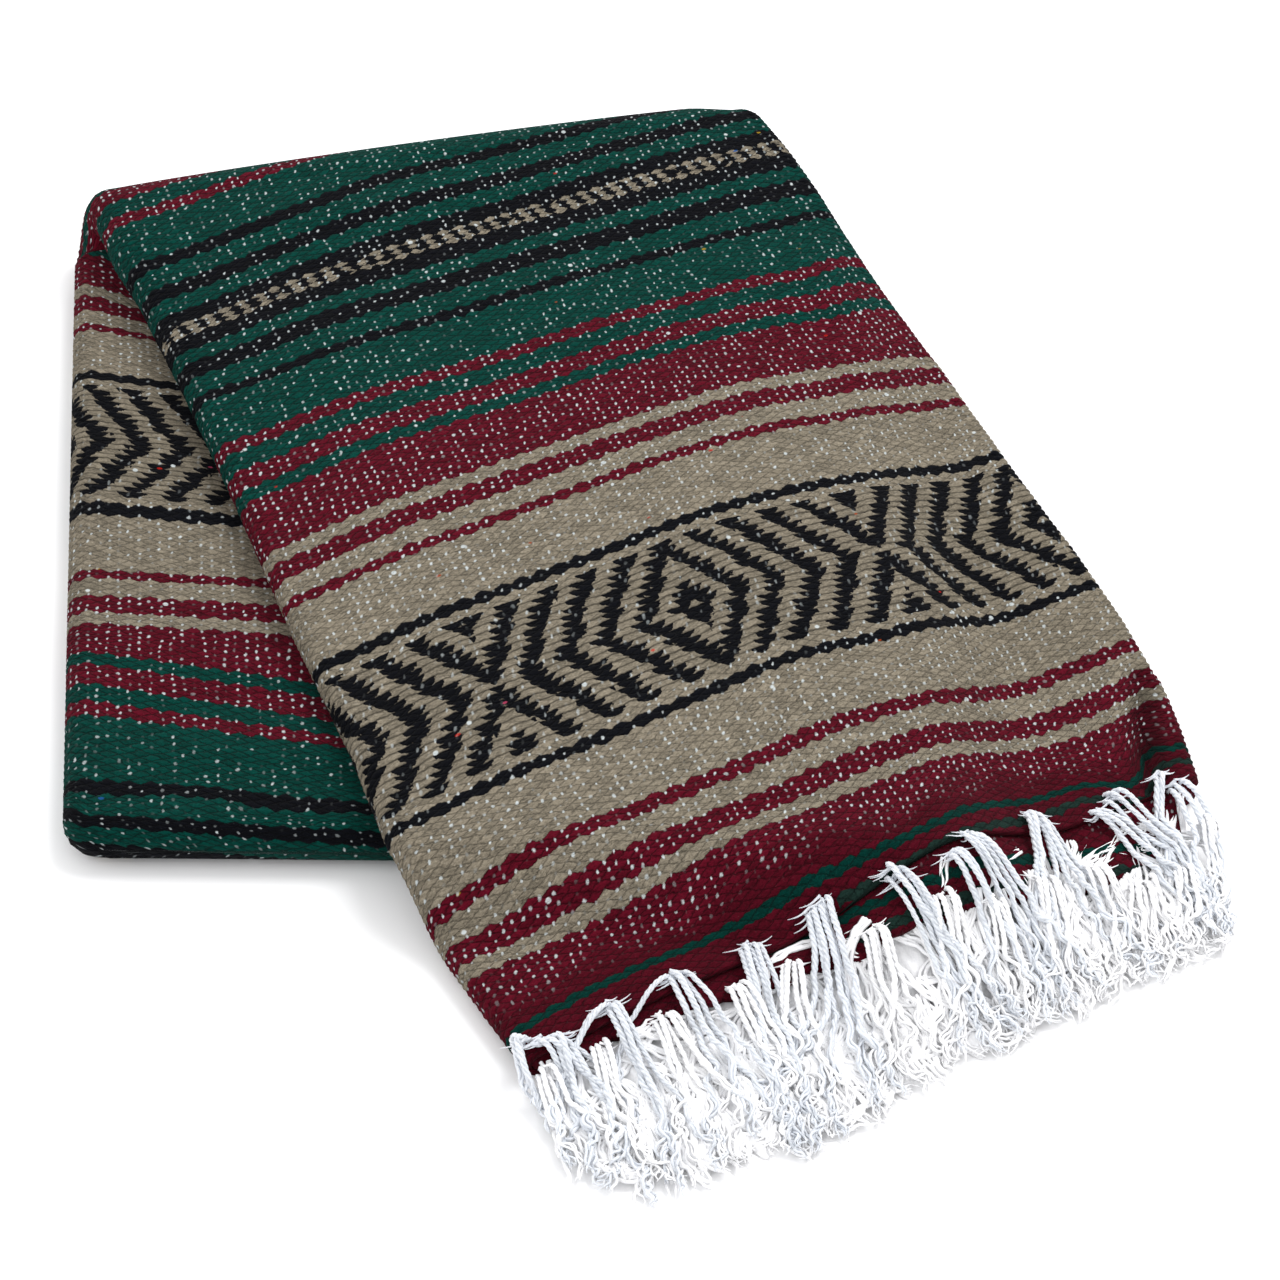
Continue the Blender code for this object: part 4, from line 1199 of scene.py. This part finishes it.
class Yarns:
    """Gathers yarns, to become one mesh."""

    def __init__(self):
        self.points, self.quads, self.uvs, self.count = [], [], [], 0

    def take(self, points, quads, uv):
        """Points, quads by number, and cloth coordinates for each quad's corners."""
        self.points.append(points.reshape(-1, 3))
        self.quads.append(quads + self.count)
        self.uvs.append(uv.reshape(-1, 2))
        self.count += len(self.points[-1])

    def tube(self, path, radius):
        """A tube of four sides along a path, with a radius for each of its points."""
        n, sides = len(path), 4
        tangent, side = frame_of(path)
        for k in range(1, n):
            if side[k] @ side[k - 1] < 0.0:
                side[k] = -side[k]
        turn = (np.arange(sides) * 2.0 * pi / sides)[None, :, None]
        ring = side[:, None] * np.cos(turn) + np.cross(side, tangent)[:, None] * np.sin(turn)
        points = path[:, None] + ring * radius[:, None, None]
        points[..., 2] = np.maximum(points[..., 2], 0.0)
        along, around = np.meshgrid(distances(path) * 1000.0, np.arange(sides + 1) / sides, indexing="ij")
        uv = np.stack([along, around], -1).reshape(-1, 2)[grid_quads(n, sides + 1)]
        self.take(points, grid_quads(n, sides, True), uv)

    def cord(self, path, radius, pitch, loose):
        """A softly twisted yarn of three plies that comes apart from the share `loose` of its length on."""
        step = distances(path)
        share = step / step[-1]
        tangent, side = frame_of(path)
        up = np.cross(side, tangent)
        open_out = smooth((share - loose) / (1.02 - loose))
        first = draw(0.0, 2.0 * pi)
        for ply in range(PLIES):
            angle = first + 2.0 * pi * (step / pitch + ply / PLIES) * (1.0 - 0.6 * open_out)
            out = radius * 0.46 * (1.0 + 0.9 * open_out)
            spread = open_out * radius * draw(0.6, 2.2)
            aside = out * np.cos(angle) + spread * wander(step, 0.016) + 0.4 * spread * wander(step, 0.006)
            upward = out * np.sin(angle) + 0.5 * spread * wander(step, 0.012)
            line = path + side * aside[:, None] + up * upward[:, None]
            thin = radius * 0.58 * (1.0 - 0.25 * open_out) * (1.0 + 0.10 * wander(step, 0.01))
            thin = thin * (1.0 - 0.75 * smooth((share - 0.95) / 0.05))
            line[:, 2] = np.maximum(line[:, 2], thin)
            self.tube(line, thin)

    def piece(self, name, material):
        points, quads, uvs = (np.concatenate(run) for run in (self.points, self.quads, self.uvs))
        return add_piece(name, points, quads.tolist(), material, uvs)


def hem_frame(spot):
    """Shares across the hem and distances past it of plan spots."""
    line = HEM_RIGHT - HEM_LEFT
    length = np.linalg.norm(line)
    way = line / length
    offset = spot - HEM_LEFT
    return np.clip((offset @ way) / length, 0.0, 1.0), offset @ np.array((way[1], -way[0]))


def cloth_top(spot):
    """Height of what lies at plan spots: the upper leg, the second layer past its hem, or the pile."""
    across, past = hem_frame(spot)
    beyond_hem = np.maximum(past, 0.0)
    over = hem_spot(across, 1.0 + np.minimum(past, 0.0) / UPPER_RIGHT)[1]
    rim = hem_spot(across, 1.0)[1]
    on_layer = (2.0 * GAP + PLY) * (1.0 - smooth((past - layer_past(across)) / 0.006))
    under = pile_top(across, beyond_hem) + on_layer
    return np.where(past <= 0.0, over, np.maximum(under, rim - beyond_hem * 1.1))


def strand_path(head, turn_from, turn_to, length, step, sway, crimp, lift, settle=0.5, arch=0.003):
    """A yarn's middle line: from its head over the cloth and down, wandering and crimped."""
    n = max(int(length / step), 12)
    t = np.linspace(0.0, 1.0, n)
    along = t * length
    turn = np.radians(turn_from + (turn_to - turn_from) * smooth(t * 1.3)) + sway * wander(along, 0.060) * t
    way = np.stack([np.sin(turn), -np.cos(turn)], axis=1)
    steps = np.cumsum(way[:-1] * length / (n - 1), axis=0)
    plan = head + np.concatenate([np.zeros((1, 2)), steps])
    sideways = np.stack([np.cos(turn), np.sin(turn)], axis=1)
    kink = smooth((t - 0.10) / 0.5)
    bend = kink * crimp * (wander(along, 0.019) + 0.35 * wander(along, 0.008))
    plan = plan + sideways * bend[:, None]
    height = cloth_top(plan) + lift + arch * np.sin(pi * np.clip(t * 4.0, 0.0, 1.0)) * (t < 0.25)
    height = height + 0.4 * crimp * kink * wander(along, 0.014)
    height = height * (1.0 - 0.30 * smooth((t - settle) / (1.0 - settle + 1e-6)))
    height = np.convolve(np.pad(height, 3, mode="edge"), np.ones(7) / 7.0, mode="valid")
    return standing(plan, height)


# Tassels: where each is tied, how it runs at first and at last in degrees from -Y towards +X, its length, its
# yarns, and how far they spread in degrees
TOP_TASSELS = (
    (0.1640, 0.046, -70.0, 40.0, 0.040, 3, 60.0),
    (0.1650, 0.062, 55.0, 10.0, 0.060, 3, 60.0),
    (0.1670, 0.080, 24.0, 14.0, 0.078, 3, 24.0),
    (0.1610, 0.145, -34.0, 0.0, 0.074, 2, 8.0),
    (0.1622, 0.150, 26.0, 24.0, 0.086, 3, 14.0),
    (0.1585, 0.229, -44.0, -4.0, 0.062, 1, 6.0),
    (0.1592, 0.233, 36.0, 20.0, 0.082, 4, 34.0),
    (0.1573, 0.330, 16.0, 15.0, 0.112, 5, 8.0),
    (0.1560, 0.410, 12.0, -24.0, 0.090, 2, 10.0),
    (0.1545, 0.425, 12.0, 10.0, 0.096, 4, 10.0),
    (0.1556, 0.513, 32.0, 40.0, 0.088, 4, 14.0),
    (0.1580, 0.520, 26.0, 20.0, 0.084, 2, 10.0),
    (0.1590, 0.588, 34.0, 30.0, 0.084, 3, 14.0),
    (0.1540, 0.614, 40.0, 34.0, 0.086, 4, 12.0),
    (0.1440, 0.718, 12.0, -8.0, 0.084, 3, 14.0),
    (0.1446, 0.724, 28.0, 40.0, 0.086, 3, 14.0),
    (0.1478, 0.803, 52.0, 40.0, 0.070, 3, 14.0),
    (0.1432, 0.828, 50.0, 26.0, 0.078, 4, 14.0),
    (0.1392, 0.904, -6.0, 30.0, 0.062, 2, 10.0),
    (0.1460, 0.916, 30.0, 0.0, 0.078, 4, 30.0),
)
SECOND_TASSELS = (
    (0.1760, 0.050, 20.0, 26.0, 0.060, 4, 24.0),
    (0.1740, 0.120, 14.0, 26.0, 0.072, 4, 24.0),
    (0.1720, 0.200, 24.0, 14.0, 0.074, 5, 24.0),
    (0.1704, 0.294, 30.0, 14.0, 0.074, 4, 30.0),
    (0.1683, 0.368, 0.0, 20.0, 0.078, 4, 30.0),
    (0.1707, 0.467, 14.0, 16.0, 0.072, 5, 24.0),
    (0.1722, 0.555, 16.0, 12.0, 0.066, 5, 22.0),
    (0.1800, 0.610, 24.0, 14.0, 0.054, 4, 22.0),
    (0.1730, 0.690, 16.0, 8.0, 0.060, 5, 22.0),
    (0.1692, 0.762, 26.0, 4.0, 0.062, 5, 20.0),
    (0.1803, 0.813, 10.0, 2.0, 0.050, 6, 20.0),
    (0.1800, 0.870, 6.0, -2.0, 0.050, 5, 18.0),
    (0.1640, 0.935, 6.0, -8.0, 0.060, 5, 16.0),
)


TIED_DOWN = np.array((0.0030, 0.0018, 0.0008, 0.0003))  # how far a yarn's first points lie lower at its knot


def add_whisker(gather, head, lift):
    """A short end of yarn that sticks out beside a knot."""
    way = random.choice((-1.0, 1.0), p=(0.6, 0.4))
    angle = draw(-0.45, 0.35)
    line = UPPER_ACROSS * way * np.cos(angle) - UPPER_RUN * np.sin(angle) * 0.7
    reach = draw(0.004, 0.011)
    t = np.linspace(0.0, 1.0, 9)
    start = head + UPPER_RUN * draw(-0.001, 0.003)
    plan = start + line * reach * t[:, None] + UPPER_RUN * 0.0008 * np.sin(t * 3.0)[:, None]
    height = cloth_top(plan) + lift + 0.0005 + 0.0014 * (1.0 - t) + draw(0.0, 0.0010) * t
    gather.tube(standing(plan, height), 0.0007 * (1.0 - 0.8 * t))


def add_tassels(gather, table, radius, lift, whiskers, sway, crimp, loose):
    for s, u, turn_from, turn_to, length, yarns, spread in table:
        head = BAND_LEFT + UPPER_ACROSS * STRIP_WIDTH * u + UPPER_RUN * s
        for k in range(yarns):
            share = (k + 0.5) / yarns - 0.5
            start = head + UPPER_ACROSS * share * 0.0018 * yarns + UPPER_RUN * draw(-0.0014, 0.0014)
            lay = lift + radius * (0.7 + 1.4 * (k % 2)) + draw(0.0, 0.0008)
            path = strand_path(
                start, turn_from + spread * 0.7 * share + draw(-4.0, 4.0),
                turn_to + spread * share * 0.9 + draw(-7.0, 7.0),
                length * draw(0.84, 1.12), 0.0010, sway, crimp, lay,
            )
            path[: len(TIED_DOWN), 2] -= TIED_DOWN
            path = within(path, draw(-0.010, 0.002))
            thick, pitch = radius * draw(0.85, 1.12), draw(0.0075, 0.0095)
            gather.cord(path, thick, pitch, draw(*loose))
        for _ in range(whiskers):
            add_whisker(gather, head, lift)


def add_mat(gather):
    """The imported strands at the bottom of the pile, as one lumpy body."""
    across = np.linspace(0.012, 0.985, 170)
    reach = fringe_reach(across) * (0.80 + 0.05 * np.sin(across * 61.0) + 0.04 * np.sin(across * 147.0 + 2.0))
    share = np.linspace(0.0, 1.0, 60)[:, None]
    past = 0.0006 + share * reach
    across = across + 0.0 * past
    spot = hem_point(across, past)
    comb = np.sin(across * 310.0 + 3.0 * np.sin(past * 150.0))
    comb = comb + 0.8 * np.sin(across * 173.0 - past * 210.0 + 1.0)
    lump = 0.0006 * comb + 0.0006 * np.sin(past * 620.0 + across * 90.0) * np.sin(across * 127.0)
    top = pile_top(across, past) * (0.88 - 0.34 * share) + lump * smooth((1.0 - share) / 0.15)
    top = np.maximum(top * (1.0 - smooth((share - 0.94) / 0.06)), 0.0004)
    quads = leaf_quads(*top.shape)
    uv = np.stack([past * 1000.0, across * 40.0], -1).reshape(-1, 2)[quads % top.size]
    gather.take(np.stack([standing(spot, top), standing(spot, 0.0 * top)]), quads, uv)


def add_lock(gather, across):
    """Three frayed strands that run close together over the pile."""
    reach = float(fringe_reach(across))
    past = draw(0.01, 0.55) * reach
    turn = float(fringe_turn(across))
    first_turn = turn + random.choice((0.0, 0.0, -70.0, 60.0))
    start = hem_point(across, past)
    length = (reach - past) * draw(0.80, 1.15)
    lock = strand_path(
        start, first_turn + draw(-35.0, 35.0), turn + draw(-28.0, 28.0), length, 0.0017,
        1.3, draw(0.0010, 0.0024), 0.0, 0.3, 0.0,
    )
    along = np.linspace(0.0, length, len(lock))
    side = unit(np.stack([-np.gradient(lock[:, 1]), np.gradient(lock[:, 0])], axis=1))
    low = draw(0.80, 1.02)
    for strand in range(3):
        apart = (strand - 1) * draw(0.0008, 0.0018) + 0.0010 * wander(along, 0.022) * along / length
        apart = apart + draw(0.0002, 0.0007) * wander(along, 0.008)
        path = lock.copy()
        path[:, :2] += side * apart[:, None]
        path[:, 2] = np.maximum(path[:, 2] * low + 0.0005 * wander(along, 0.015), 0.0009)
        path = within(path, draw(-0.014, 0.003))
        share = np.linspace(0.0, 1.0, len(path))
        gather.tube(path, draw(0.0006, 0.00095) * (1.0 - 0.7 * smooth((share - 0.85) / 0.15)))


cotton = cotton_material("cotton_yarn", srgb(238, 242, 248), srgb(214, 219, 228), 0.35)
soft_cotton = cotton_material("cotton_frayed", srgb(250, 250, 251), srgb(240, 240, 242), 0.0)
top_yarns, second_yarns, pile = Yarns(), Yarns(), Yarns()
add_tassels(top_yarns, TOP_TASSELS, 0.00122, 0.0002, 5, 0.42, 0.0017, (0.40, 0.62))
add_tassels(second_yarns, SECOND_TASSELS, 0.00112, 0.0001, 3, 0.66, 0.0026, (0.12, 0.38))
add_mat(pile)
LOCKS = 180
for k in range(LOCKS):
    add_lock(pile, (k + draw(0.0, 1.0)) / LOCKS)
top_fringe = top_yarns.piece("fringe_first", cotton)
second_fringe = second_yarns.piece("fringe_under", soft_cotton)
pile_piece = pile.piece("fringe_tangle", soft_cotton)

for piece, nodes, slot in (
    (upper_piece, ("upper_leg", "top_fold"), "striped_cloth"),
    (lower_piece, ("lower_leg", "bottom_fold"), "striped_cloth"),
    (core_piece, ("hidden_layers",), "striped_cloth"),
    (second_piece, ("second_layer",), "striped_cloth"),
    (top_fringe, ("fringe_top",), "fringe_cotton"),
    (second_fringe, ("fringe_second",), "fringe_cotton"),
    (pile_piece, ("fringe_lower",), "fringe_cotton"),
):
    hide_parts(*nodes)
    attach(piece, "root")

# ---------------------------------------------------------------- floor, lights and camera
bpy.ops.mesh.primitive_plane_add(size=6.0, location=(0.0, 0.0, -0.0004))
floor = bpy.context.object
floor.name = "floor"
floor.data.materials.append(floor_material())

world = bpy.data.worlds.new("studio")
bpy.context.scene.world = world
world.use_nodes = True
world.node_tree.nodes["Background"].inputs[0].default_value = (1.0, 1.0, 1.0, 1.0)
world.node_tree.nodes["Background"].inputs[1].default_value = 1.05


def add_light(name, place, target, size, power):
    light = bpy.data.lights.new(name, "AREA")
    light.shape = "DISK"
    light.size = size
    light.energy = power
    lamp = bpy.data.objects.new(name, light)
    bpy.context.scene.collection.objects.link(lamp)
    lamp.location = place
    way = np.array(target) - np.array(place)
    yaw = np.arctan2(way[0], way[1])
    pitch = np.arctan2(np.hypot(way[0], way[1]), -way[2])
    lamp.rotation_euler = (float(pitch), 0.0, float(-yaw))


add_light("key", (0.9, 0.7, 1.9), (0.0, 0.0, 0.0), 1.2, 30.0)
add_light("fill", (-1.2, -0.8, 1.6), (0.0, 0.0, 0.0), 1.6, 8.0)

camera_data = bpy.data.cameras.new("camera")
camera_data.sensor_width = 36.0
camera_data.lens = 88.6
camera = bpy.data.objects.new("camera", camera_data)
bpy.context.scene.collection.objects.link(camera)
camera.location = (0.0220, -0.9499, 0.9276)
camera.rotation_euler = (radians(45.0), 0.0, 0.0)
bpy.context.scene.camera = camera
bpy.context.scene.view_settings.view_transform = "Standard"
